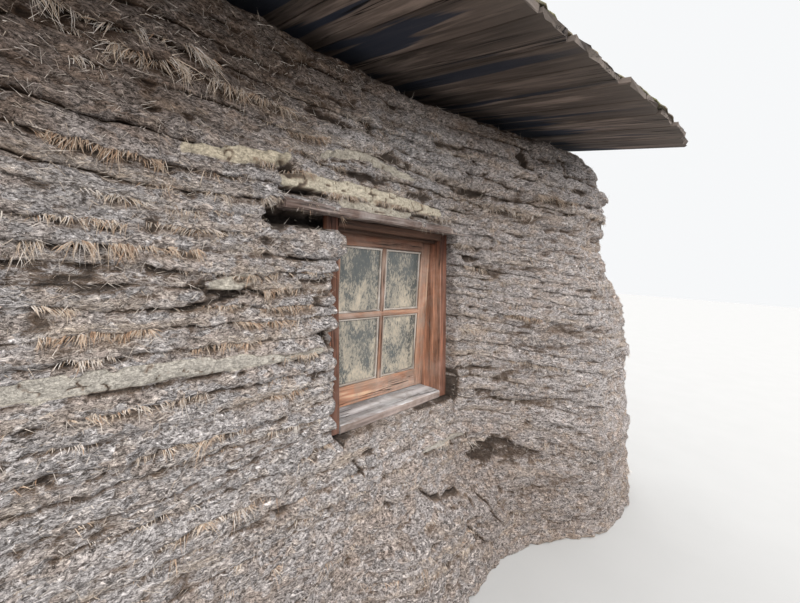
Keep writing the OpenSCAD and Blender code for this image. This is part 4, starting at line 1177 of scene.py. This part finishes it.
def wood_finishes():
    """The wood materials of the joinery, by piece."""
    look = colours()
    red = tuple(look.joinery)
    return {
        # The frame: painted shade on its faces that look out of the wall, and under the lintel
        "frame": wood("reddish_frame_wood", red, toned(red, 2.4), 0.30, 0.66, 1.3, 0.9, dirt=0.35,
                      front=(0.50, 0.43, 0.42), head=True),
        # The head boards: the joinery colour darkened as painted shade under the lintel
        "head": wood("head_wood_painted_shade", toned(red, 0.24), toned(red, 0.52), 0.1, 0.7, 1.0, 0.5, dirt=0.1),
        # The sash: painted shade under the lintel
        "sash": wood("bleached_sash_wood", toned(red, 1.15), (0.44, 0.30, 0.20), 0.62, 0.70, 1.3, 0.9,
                     dirt=0.50, head=True),
        "putty": wood("putty_strips", toned(look.putty, 0.85), (0.62, 0.58, 0.53), 0.4, 0.8, 1.6, 0.5,
                      dirt=0.7),
        # The sill: painted shade on its face that looks out of the wall
        "sill": wood("grey_sill_wood", (0.430, 0.405, 0.400), (0.600, 0.585, 0.590), 0.6, 0.85, 0.8, 0.9,
                     dirt=0.45, depth=0.004, front=(0.58, 0.48, 0.43)),
        "lintel": wood("dark_lintel_planks", (0.175, 0.120, 0.100), (0.470, 0.395, 0.355), 0.45, 0.85, 1.4,
                       1.0, dirt=0.3, depth=0.004),
        "door": wood("weathered_door_wood", (0.175, 0.115, 0.080), (0.360, 0.300, 0.245), 0.65, 0.78, 0.9,
                     0.8, dirt=0.4, depth=0.003),
    }


@cache
def log_material():
    """Peeled logs: grain along the log, drying cracks, and growth rings on the sawn ends."""
    material, tree, shader, _ = begin_material("peeled_logs")
    along = grain_of(tree)
    grain = use(tree, "wood_grain", Vector=along, Fineness=0.7)
    colour = grain["Streaks"].stretched(0.35, 0.65).mix((0.070, 0.048, 0.034), (0.200, 0.150, 0.110))
    across = put(tree, "ShaderNodeCombineXYZ", {1: along.axis(1), 2: along.axis(2)})
    radius = put(tree, "ShaderNodeVectorMath", {0: across}, operation="LENGTH")["Value"]
    rings = abs(((radius + across.clouds(14.0, 3.0) * 0.012) * 950.0).math("SINE"))
    sawn = rings.mix((0.120, 0.085, 0.060), (0.270, 0.215, 0.165))
    colour = mask_of(tree, "worn").mix(colour, sawn)
    colour = (grain["Cracks"] * 0.9).mix(colour, (0.012, 0.009, 0.007))
    finish_surface(tree, shader, colour, 0.85, grain["Streaks"] * 0.7 - grain["Cracks"], 0.004, gloss=0.2)
    return material


class SODHOUSE_OT_logs(bpy.types.Operator):
    """Lays the ridge log, the purlins and the wall plates, with their sawn ends"""
    bl_idname = "sodhouse.logs"
    bl_label = "Roof logs"

    def execute(self, context):
        around, stops = 36, 70
        rim = [0.02, 0.35, 0.70, 0.965]
        share = np.concatenate([rim, np.ones(stops), rim[::-1]])
        angle = np.linspace(0, 2 * math.pi, around, endpoint=False)[:, None]
        turn = np.stack([np.cos(angle), np.sin(angle)])
        logs = ("ridge_log", "front_purlin", "back_purlin", "front_wall_plate", "back_wall_plate")
        for seed, node in enumerate(logs):
            low, high = span(node)
            middle, radius = (low + high) / 2, (high[2] - low[2]) / 2
            x = np.concatenate([[low[0]] * 4, np.linspace(low[0] + 0.004, high[0] - 0.004, stops),
                                [high[0]] * 4])
            r = radius * share * (0.978 + 0.012 * noise(x / 0.5, turn[0] * 2 + seed, 90)
                                  + 0.008 * noise(x / 0.12, turn[1] * 4 + seed, 91))
            y, z = r * turn[0], r * turn[1]
            points = np.stack([x + 0 * r, middle[1] + y, middle[2] + z], -1).reshape(-1, 3)
            masks = {"worn": np.broadcast_to(share < 0.99, r.shape),
                     "grain": np.stack([x + 0 * r + seed * 3.0, y, z], -1)}
            faces, caps = tube_faces(around, len(x))
            put_mesh(node + "_peeled", points, faces, caps, masks, log_material(), [node])
        return {"FINISHED"}


@cache
def glass_material():
    """Old panes: dark glass under a pale film, partly dust and partly painted reflection, with splashes and
    streaks, most of them low.
    """
    material, tree, shader, where = begin_material("dusty_glass")
    blots = where.scaled((1, 1, 0.6)).clouds(11.0, 3.0, 0.6, 0.6)
    blots = blots + where.axis(2).stretched(1.30, 1.56, 0.03, -0.12)
    specks = where.scaled((1, 1, 0.42)).clouds(120.0, 4.0, 0.75, 0.6)
    # The pale film: partly dust, partly painted reflection, with less of it higher up
    film = (blots * 0.45 + specks * 0.55).stretched(0.40, 0.66)
    colour = film.mix((0.088, 0.098, 0.096), (0.560, 0.480, 0.370))
    shader.inputs["Transmission Weight"].default_value = 0.30
    shader.inputs["IOR"].default_value = 1.45
    finish_surface(tree, shader, colour, film.stretched(0, 1, 0.16, 0.62, False), where.clouds(7.0, 2.0),
                   0.002, 0.4)
    return material


def leaning():
    """Ways up along the front wall and out through it, and how much longer a leaning plank is."""
    batter = sizes().batter
    longer = math.hypot(1, batter)
    return np.array([0, batter, 1]) / longer, np.array([0, 1, -batter]) / longer, longer


class SODHOUSE_OT_windows(bpy.types.Operator):
    """Joins the two windows: plank frames and fascias, sills, sashes with bars and putty, panes, lintels"""
    bl_idname = "sodhouse.windows"
    bl_label = "Windows"

    def execute(self, context):
        finish = wood_finishes()
        for side, name in ((1, "right"), (-1, "left")):
            self.frame_and_sill(side, name + "_window", finish)
            self.sash(side, name, finish)
            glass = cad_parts[name + "_window_glass"]
            glass.data.materials.clear()
            glass.data.materials.append(glass_material())
            lay_lintel(name + "_window_lintel", finish["lintel"], 128 + side)
        return {"FINISHED"}

    def frame_and_sill(self, side, window, finish):
        """The leaning jambs, the head board with its fascia, and the sill plank. Each seed is the number
        of the piece's kind plus the side."""
        low, high = span(window + "_frame")
        sash_low, sash_high = span(window + "_sash")
        sill_low, sill_high = span(window + "_sill")
        tilt, out, longer = leaning()
        depth, width = high[1] - low[1], sill_high[0] - sill_low[0]
        jamb = sash_low[0] - 0.002 - low[0]
        foot_y = low[1] + depth / 2
        planks(window + "_jambs", [(low[0] + jamb, foot_y, low[2]), (high[0], foot_y, low[2])], tilt, out,
               LEFT, (high[2] - low[2]) * longer, depth, jamb, finish["frame"],
               [window + "_frame"], 100 + side, 12, bow=0.001, chamfer=0.004)
        head_y = low[1] + sizes().batter * (sash_high[2] - sash_low[2])
        head_t = high[2] - sash_high[2] - 0.002
        planks(window + "_head_board", [(sill_low[0], (head_y + high[1]) / 2, high[2] - head_t)], RIGHT,
               INWARD, UP, width, high[1] - head_y - 0.004, head_t, finish["head"],
               [window + "_frame"], 104 + side, 10, bow=0.0005)
        planks(window + "_fascia", [(sill_low[0] + 0.001, head_y + 0.040, high[2] - 0.026)], RIGHT, DOWN,
               INWARD, width - 0.002, 0.048, 0.020, finish["head"], [window + "_frame"],
               108 + side, 10, bow=0.0008)
        planks(window + "_sill_plank",
               [(sill_low[0] + 0.001, (sill_low[1] + sill_high[1]) / 2, sill_low[2])], RIGHT, INWARD, UP,
               width - 0.002, depth, sill_high[2] - sill_low[2] - 0.006, finish["sill"],
               [window + "_sill"], 112 + side, 22, bow=0.002, wave=0.003, chamfer=0.006)

    def sash(self, side, name, finish):
        """Stiles and rails, the crossed bars, and the putty strips round each pane."""
        node = [name + "_window_sash"]
        low, high = span(node[0])
        glass_low, glass_high = span(name + "_window_glass")
        stile, bottom = glass_low[0] - low[0], glass_low[2] - low[2]
        top, thick = high[2] - glass_high[2], high[1] - low[1]
        left, y, foot = low
        right, head = high[0], high[2]
        frame_low, frame_high = span(name + "_window_frame")
        middle_x = (frame_low[0] + frame_high[0]) / 2
        middle_z = (glass_low[2] + glass_high[2]) / 2 + 0.004
        inner_w = right - left - 2 * stile
        lap, bar, putty, putty_in = 0.004, 0.026, 0.008, 0.005
        starts = [(left + stile / 2, y, foot), (right - stile / 2, y, foot),
                  (left + stile - lap, y + 0.001, foot + bottom / 2),
                  (left + stile - lap, y + 0.001, head - top / 2)]
        planks(name + "_sash_rails", starts, [UP, UP, RIGHT, RIGHT], [LEFT, LEFT, DOWN, DOWN], INWARD,
               [head - foot, head - foot, inner_w + 2 * lap, inner_w + 2 * lap], [stile, stile, bottom, top],
               thick, finish["sash"], node, 116 + side, 12, bow=0.0006, chamfer=0.002)
        starts = [(middle_x, y + 0.003, foot + bottom - 0.002), (left + stile - 0.002, y + 0.002, middle_z)]
        planks(name + "_sash_bars", starts, [UP, RIGHT], [LEFT, DOWN], INWARD,
               [head - foot - bottom - top + 0.004, inner_w + 0.004], bar, thick - 0.006, finish["sash"],
               node, 120 + side, 10, bow=0.0006, chamfer=0.004)
        starts, lengths = [], []
        for x0, x1 in ((left + stile, middle_x - bar / 2), (middle_x + bar / 2, right - stile)):
            for z0, z1 in ((foot + bottom, middle_z - bar / 2), (middle_z + bar / 2, head - top)):
                starts += [(x0, y + putty, z0 + putty_in), (x0, y + putty, z1 - putty_in),
                           (x0 + putty_in, y + putty, z0), (x1 - putty_in, y + putty, z0)]
                lengths += [x1 - x0, x1 - x0, z1 - z0, z1 - z0]
        panes = 4
        planks(name + "_sash_putty", starts, [RIGHT, RIGHT, UP, UP] * panes, [DOWN, DOWN, LEFT, LEFT] * panes,
               INWARD, lengths, 0.0095, 0.010, finish["putty"], node, 124 + side, 8,
               bow=0.0012, wave=0.0015, chamfer=0.004)


def lay_lintel(node, material, seed):
    """Three planks side by side through the wall, a little stepped at their ends."""
    low, high = span(node)
    count, gap, step = 3, 0.006, 0.003
    wide = (high[1] - low[1] - 2 * gap) / count
    starts = [(low[0] + step * i, low[1] + wide / 2 + i * (wide + gap), low[2]) for i in range(count)]
    planks(node + "_planks", starts, RIGHT, INWARD, UP, high[0] - low[0] - 2 * step, wide, high[2] - low[2],
           material, [node], seed, 34, splinter=0.012, bow=0.0025, wave=0.0022, chamfer=0.005)


class SODHOUSE_OT_door(bpy.types.Operator):
    """Makes the door: a leaf of upright boards on ledges, its plank frame, threshold and lintel"""
    bl_idname = "sodhouse.door"
    bl_label = "Door"

    def execute(self, context):
        finish = wood_finishes()
        self.leaf(finish["door"])
        self.door_frame(finish["frame"])
        low, high = span("door_threshold")
        lift = 0.004
        planks("door_threshold_plank", [(low[0], (low[1] + high[1]) / 2, low[2] + lift)], RIGHT, INWARD, UP,
               high[0] - low[0], high[1] - low[1], high[2] - low[2] - lift, finish["sill"],
               ["door_threshold"], 144, 20, bow=0.0, wave=0.002, chamfer=0.008)
        lay_lintel("door_lintel", finish["lintel"], 146)
        return {"FINISHED"}

    def leaf(self, material):
        """Five upright boards, and behind them three ledges at shares of the leaf's height."""
        low, high = span("door_leaf")
        boards, gap, thick, inset, ledge_w = 5, 0.004, 0.032, 0.04, 0.13
        height = high[2] - low[2]
        wide = (high[0] - low[0] - (boards - 1) * gap) / boards
        starts = [(low[0] + wide / 2 + i * (wide + gap), low[1], low[2]) for i in range(boards)]
        planks("door_boards", starts, UP, LEFT, INWARD, height, wide, thick, material,
               ["door_leaf"], 140, 20, bow=0.001, chamfer=0.004)
        starts = [(low[0] + inset, low[1] + thick, low[2] + share * height + ledge_w / 2)
                  for share in (0.09, 0.47, 0.84)]
        planks("door_ledges", starts, RIGHT, DOWN, INWARD, high[0] - low[0] - 2 * inset, ledge_w, 0.026,
               material, ["door_leaf"], 141, 8, chamfer=0.006)

    def door_frame(self, material):
        """Two leaning jambs and the head board between them."""
        low, high = span("door_frame")
        tilt, out, longer = leaning()
        inner = span("door_leaf")[1][0] + 0.004
        jamb, middle_y = high[0] - inner, (low[1] + high[1]) / 2
        planks("door_jambs", [(-inner, middle_y, low[2]), (high[0], middle_y, low[2])], tilt, out, LEFT,
               (high[2] - low[2]) * longer, high[1] - low[1], jamb, material, ["door_frame"],
               142, 18, chamfer=0.005)
        sash_low, sash_high = span("right_window_sash")
        head_y = low[1] + sizes().batter * (sash_high[2] - sash_low[2])
        planks("door_head_board", [(-inner, (head_y + high[1]) / 2, high[2] - jamb)], RIGHT, INWARD, UP,
               2 * inner, high[1] - head_y, jamb, material, ["door_frame"], 143, 10)


# ---------------------------------------------------------------- turf under the roof

class SODHOUSE_OT_gable_tops(bpy.types.Operator):
    """Lays the turf over the gable walls up to the planks, and colours the fills behind the wall plates"""
    bl_idname = "sodhouse.gable_tops"
    bl_label = "Turf under the roof"

    def execute(self, context):
        material = sod_material()
        rows, columns, course_h = 36, 200, 0.0575
        for name, side in (("right", 1), ("left", -1)):
            low, high = span(name + "_gable_top")
            y = np.linspace(high[1], low[1], columns)[None, :] * side
            top = RIDGE_Z - math.tan(PITCH) * np.abs(y) - 0.002
            share = np.linspace(0, 1, rows)[:, None]
            z = WALL_H + share * (top - WALL_H)
            s = (S2 + Y_TOP - CORNER_R + y) * side
            place = (z - WALL_H) / course_h
            course = np.floor(place)
            out, _, tone, hollow_shade, _, _ = weathered(s, course + 5, place - course, z)
            out = out * ramp(share / 0.03) * ramp((1 - share) / 0.03)
            face = np.stack([side * (X_TOP + out), y + 0 * z, z], -1)
            inner = np.full(y.shape[1], side * X_IN)
            back = [np.column_stack([inner, y[0], height]) for height in (top[0], 0 * top[0] + WALL_H)]
            ring = np.concatenate([face, np.array(back)])
            n, m = ring.shape[:2]
            masks = {mask: np.concatenate([np.broadcast_to(values, z.shape), np.full((2, m), 0.4)])
                     for mask, values in (("tone", tone), ("hollow_shade", hollow_shade))}
            faces, caps = tube_faces(n, m)
            put_mesh(name + "_gable_top_turf", ring.reshape(-1, 3), faces, caps, masks, material,
                     [name + "_gable_top"])
        for name in ("front_eave_fill", "back_eave_fill"):
            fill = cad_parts[name]
            fill.data.materials.clear()
            fill.data.materials.append(material)
        return {"FINISHED"}


# ---------------------------------------------------------------- straw and root hairs

def needles(name, root, way, bend, width, shade, middle=True):
    """Thin three-sided needles as one mesh. Each runs from its root by q * way + q * q * bend, q from 0
    to 1, and ends in a point. Without a middle they are straight pyramids."""
    n = len(root)
    unit = way / np.linalg.norm(way, axis=1)[:, None]
    other = np.cross(np.roll(unit, 1, 1) + [0.3, 0.1, 0.2], unit)
    side = other / np.linalg.norm(other, axis=1)[:, None]
    third = np.cross(unit, side)
    stops = (0.0, 0.55) if middle else (0.0,)
    rings = []
    for q in stops:
        for turn in (0.0, 2.094, 4.189):
            offset = width[:, None] / 2 * (1 - 0.3 * q) * (math.cos(turn) * side + math.sin(turn) * third)
            rings.append(root + q * way + q * q * bend + offset)
    points = np.stack(rings + [root + way + bend], 1)
    m = points.shape[1]
    faces = [(2, 1, 0)]
    for i in range(3):
        j = (i + 1) % 3
        if middle:
            faces += [(i, j, j + 3), (i, j + 3, i + 3)]
        faces.append((m - 4 + i, m - 4 + j, m - 1))
    triangles = (np.array(faces)[None] + np.arange(n)[:, None, None] * m).reshape(-1, 3)
    put_mesh(name, inside_box(points.reshape(-1, 3)), triangles, (), {"shade": np.repeat(shade, m)},
             straw_material(), smooth=False)


@cache
def straw_material():
    """Dry grass and roots: pale beige to rusty brown from one straw to the next."""
    material, tree, shader, where = begin_material("dry_straw")
    straw = tuple(colours().straw)
    shade = mask_of(tree, "shade")
    pale = tuple(0.50 * c + 0.36 for c in straw)
    rust = (straw[0] * 0.72, straw[1] * 0.56, straw[2] * 0.46)
    colour = shade.stretched(0.0, 0.5, smooth=False).mix(pale, straw)
    colour = shade.stretched(0.5, 1.0, smooth=False).mix(colour, rust)
    colour = where.clouds(90.0, 2.0).stretched(0.35, 0.75, 0.0, 0.45).mix(colour, (0.12, 0.085, 0.06))
    finish_surface(tree, shader, colour, 0.6, gloss=0.3)
    return material


def open_place(s, k):
    """True where course line k at s borders on turf, and not on a window or the door."""
    t = np.abs(s)
    window = (t > OPEN_IN - 0.01) & (t < OPEN_OUT + 0.01) & (k >= APRON_LINE) & (k < LINTEL_LINE)
    door = (t < DOOR_HALF + 0.01) & (k < DOOR_LINE)
    return ~(window | door)


class SODHOUSE_OT_straw(bpy.types.Operator):
    """Hangs tufts of straw from the joints and scatters fine root hairs over the turf"""
    bl_idname = "sodhouse.straw"
    bl_label = "Straw and root hairs"

    def execute(self, context):
        rng = np.random.default_rng(7)
        self.straw(rng, sizes().straw)
        self.hairs(rng, sizes().rootlets)
        return {"FINISHED"}

    def straw(self, rng, count):
        """Straws in tufts: the chosen ones on the window wall, then others at random lines round the
        house, three of four of them on the window's side."""
        centre, level, half, many, size = (np.array(q, float) for q in zip(*TUFTS))
        line = np.array([tuft_line(place, height) for place, height in zip(centre, level)])
        extra = max(0, round((count - STRAW_SHARE * many.sum()) / OTHER_TUFT))
        near = rng.random(extra) < 0.72
        centre = np.append(centre, np.where(near, rng.uniform(0.5, 4.7, extra), rng.uniform(-S5, S5, extra)))
        line = np.append(line, rng.integers(1, TOP_LINE, extra))
        half = np.append(half, rng.uniform(0.02, 0.10, extra))
        many = np.append(STRAW_SHARE * many, np.full(extra, OTHER_TUFT)).astype(int)
        size = np.append(size, rng.uniform(0.014, 0.036, extra) * (1 + 0.5 * rng.random(extra)))
        warm = rng.random(len(centre))
        warm[:len(level)] *= np.where(level < 0.8, 0.1, 1.0)
        tuft = np.repeat(np.arange(len(centre)), many)
        n = len(tuft)
        s = centre[tuft] + half[tuft] * rng.uniform(-1, 1, n)
        k = line[tuft].astype(float)
        v = np.clip(0.10 + 0.10 * noise(s / 0.03, tuft, 112) + rng.uniform(-0.05, 0.05, n), 0.01, 0.3)
        keep = open_place(s, k) & (np.abs(s) < S5 + X_TOP)
        s, k, v, tuft, n = s[keep], k[keep], v[keep], tuft[keep], int(keep.sum())
        root = skin(s, k, v)[0]
        nx, ny = outward(s, root[:, 2])
        length = 0.90 * size[tuft] * (1 + 0.6 * noise(s / 0.022, tuft, 110)) * rng.uniform(0.5, 1.15, n)
        stand, drop = rng.uniform(0.15, 0.85, n), rng.uniform(0.10, 1.0, n)
        slide = 0.70 * noise(s / 0.045, tuft, 111) + 0.14 * rng.standard_normal(n)
        root = root - 0.003 * np.stack([nx, ny, 0 * nx], -1)
        way = np.stack([nx * stand - ny * slide, ny * stand + nx * slide, -drop], -1)
        way = way / np.linalg.norm(way, axis=1)[:, None] * length[:, None]
        bend = np.stack([-0.10 * nx, -0.10 * ny, -rng.uniform(0.1, 0.45, n)], -1) * length[:, None]
        bend = bend + 0.17 * length[:, None] * rng.standard_normal((n, 3))
        shade = np.clip(0.20 + 0.50 * warm[tuft] + 0.30 * rng.standard_normal(n), 0, 1)
        needles("joint_straw", root, way, bend, rng.uniform(0.0011, 0.0025, n), shade)

    def hairs(self, rng, count):
        """Root hairs all over the courses, most of them lying along the wall."""
        near = rng.random(count) < 0.80
        s = np.where(near, 0.5 + 4.4 * rng.random(count) ** 1.25, rng.uniform(-S5, S5, count))
        k = rng.integers(0, TOP_LINE, count).astype(float)
        v = rng.random(count)
        root, masks = skin(s, k, v)
        keep = open_place(s, k) & (masks[2] < 0.3)
        s, root, n = s[keep], root[keep], int(keep.sum())
        nx, ny = outward(s, root[:, 2])
        angle = rng.normal(0, 0.75, n) + np.where(rng.random(n) < 0.25, -math.pi / 2, 0)
        stand = rng.uniform(0.05, 0.55, n)
        flip = np.where(rng.random(n) < 0.5, -1, 1)
        slide, rise = flip * np.cos(angle), np.sin(angle)
        length = rng.uniform(0.012, 0.040, n)
        way = np.stack([nx * stand - ny * slide, ny * stand + nx * slide, rise], -1) * length[:, None]
        root = root - 0.002 * np.stack([nx, ny, 0 * nx], -1)
        shade = np.clip(0.10 + 0.40 * rng.random(n) ** 2, 0, 1)
        needles("root_hairs", root, way, 0 * way, rng.uniform(0.0010, 0.0021, n), shade, False)


# ---------------------------------------------------------------- stage, light and camera

# The camera: place, then heading to the right of straight ahead, dip and roll in degrees
VIEW_PLACE, VIEW_ANGLES = (0.95, -3.6, 1.5), (47.1, 5.62, 3.15)


class SODHOUSE_OT_stage(bpy.types.Operator):
    """Puts the house on a pale floor under soft light and sets the camera in front of the window"""
    bl_idname = "sodhouse.stage"
    bl_label = "Floor, light and camera"

    def execute(self, context):
        scene = context.scene
        reach, drop = 40, -0.002
        corners = [(-reach, -reach, drop), (reach, -reach, drop), (reach, reach, drop), (-reach, reach, drop)]
        mesh = bpy.data.meshes.new("floor")
        mesh.from_pydata(corners, [], [(0, 1, 2, 3)])
        floor = bpy.data.objects.new("floor", mesh)
        scene.collection.objects.link(floor)
        material, tree, shader, where = begin_material("pale_floor")
        colour = where.clouds(3.0, 4.0).mix((0.39, 0.385, 0.375), (0.42, 0.415, 0.405))
        finish_surface(tree, shader, colour, 0.9)
        mesh.materials.append(material)

        world = bpy.data.worlds.new("overcast")
        world.use_nodes = True
        tree = world.node_tree
        tree.nodes.clear()
        path = put(tree, "ShaderNodeLightPath")
        seen = path["Is Camera Ray"].most(path["Is Glossy Ray"].most(path["Is Transmission Ray"]))
        sky = put(tree, "ShaderNodeBackground", {"Color": (0.97, 0.98, 1.0, 1), "Strength": 1.90})
        plain = put(tree, "ShaderNodeBackground", {"Color": (0.93, 0.94, 0.95, 1), "Strength": 1.0})
        both = put(tree, "ShaderNodeMixShader", {0: seen, 1: sky, 2: plain})
        feed(tree, tree.nodes.new("ShaderNodeOutputWorld").inputs[0], both)
        scene.world = world

        lamp = bpy.data.lights.new("soft_sun", "SUN")
        lamp.energy, lamp.angle, lamp.color = 3.0, math.radians(50), (1.0, 0.985, 0.965)
        sun = bpy.data.objects.new("soft_sun", lamp)
        sun.rotation_euler = (math.radians(56), math.radians(-6), math.radians(-26))
        scene.collection.objects.link(sun)

        eye = bpy.data.cameras.new("window_view")
        eye.sensor_fit, eye.sensor_width, eye.lens = "HORIZONTAL", 36.0, 16.47
        eye.clip_start = 0.05
        camera = bpy.data.objects.new("window_view", eye)
        heading, pitch, roll = (math.radians(angle) for angle in VIEW_ANGLES)
        ahead = np.array([math.sin(heading) * math.cos(pitch), math.cos(heading) * math.cos(pitch),
                          -math.sin(pitch)])
        level = np.array([math.cos(heading), -math.sin(heading), 0.0])
        upright = np.cross(level, ahead)
        right = math.cos(roll) * level + math.sin(roll) * upright
        up = -math.sin(roll) * level + math.cos(roll) * upright
        pose = np.eye(4)
        pose[:3, 0], pose[:3, 1], pose[:3, 2], pose[:3, 3] = right, up, -ahead, VIEW_PLACE
        camera.matrix_world = Matrix(pose.tolist())
        scene.collection.objects.link(camera)
        scene.camera = camera
        scene.view_settings.view_transform = "Standard"
        return {"FINISHED"}


class SODHOUSE_PT_panel(bpy.types.Panel):
    """Lists the pieces of the sod house in the sidebar"""
    bl_idname = "SODHOUSE_PT_panel"
    bl_label = "Sod house"
    bl_space_type = "VIEW_3D"
    bl_region_type = "UI"
    bl_category = "Sod house"

    def draw(self, context):
        for group_of_values in (context.scene.sod_sizes, context.scene.sod_colours):
            for name in group_of_values.__annotations__:
                self.layout.prop(group_of_values, name)
        for operator in OPERATORS:
            self.layout.operator(operator.bl_idname)


OPERATORS = [SODHOUSE_OT_walls, SODHOUSE_OT_gable_tops, SODHOUSE_OT_straw, SODHOUSE_OT_roof_boards,
             SODHOUSE_OT_roof_sod, SODHOUSE_OT_logs, SODHOUSE_OT_windows, SODHOUSE_OT_door,
             SODHOUSE_OT_stage]
CLASSES = [SodSizes, HouseColours] + OPERATORS + [SODHOUSE_PT_panel]


def register():
    """Registers the classes and puts the sizes and colours on the scene."""
    for made in CLASSES:
        bpy.utils.register_class(made)
    bpy.types.Scene.sod_sizes = PointerProperty(type=SodSizes)
    bpy.types.Scene.sod_colours = PointerProperty(type=HouseColours)


def unregister():
    """Takes the classes and the scene's properties away again."""
    del bpy.types.Scene.sod_colours
    del bpy.types.Scene.sod_sizes
    for made in reversed(CLASSES):
        bpy.utils.unregister_class(made)


def main():
    register()
    for operator in OPERATORS:
        area, name = operator.bl_idname.split(".")
        getattr(getattr(bpy.ops, area), name)()


if __name__ == "__main__":
    main()
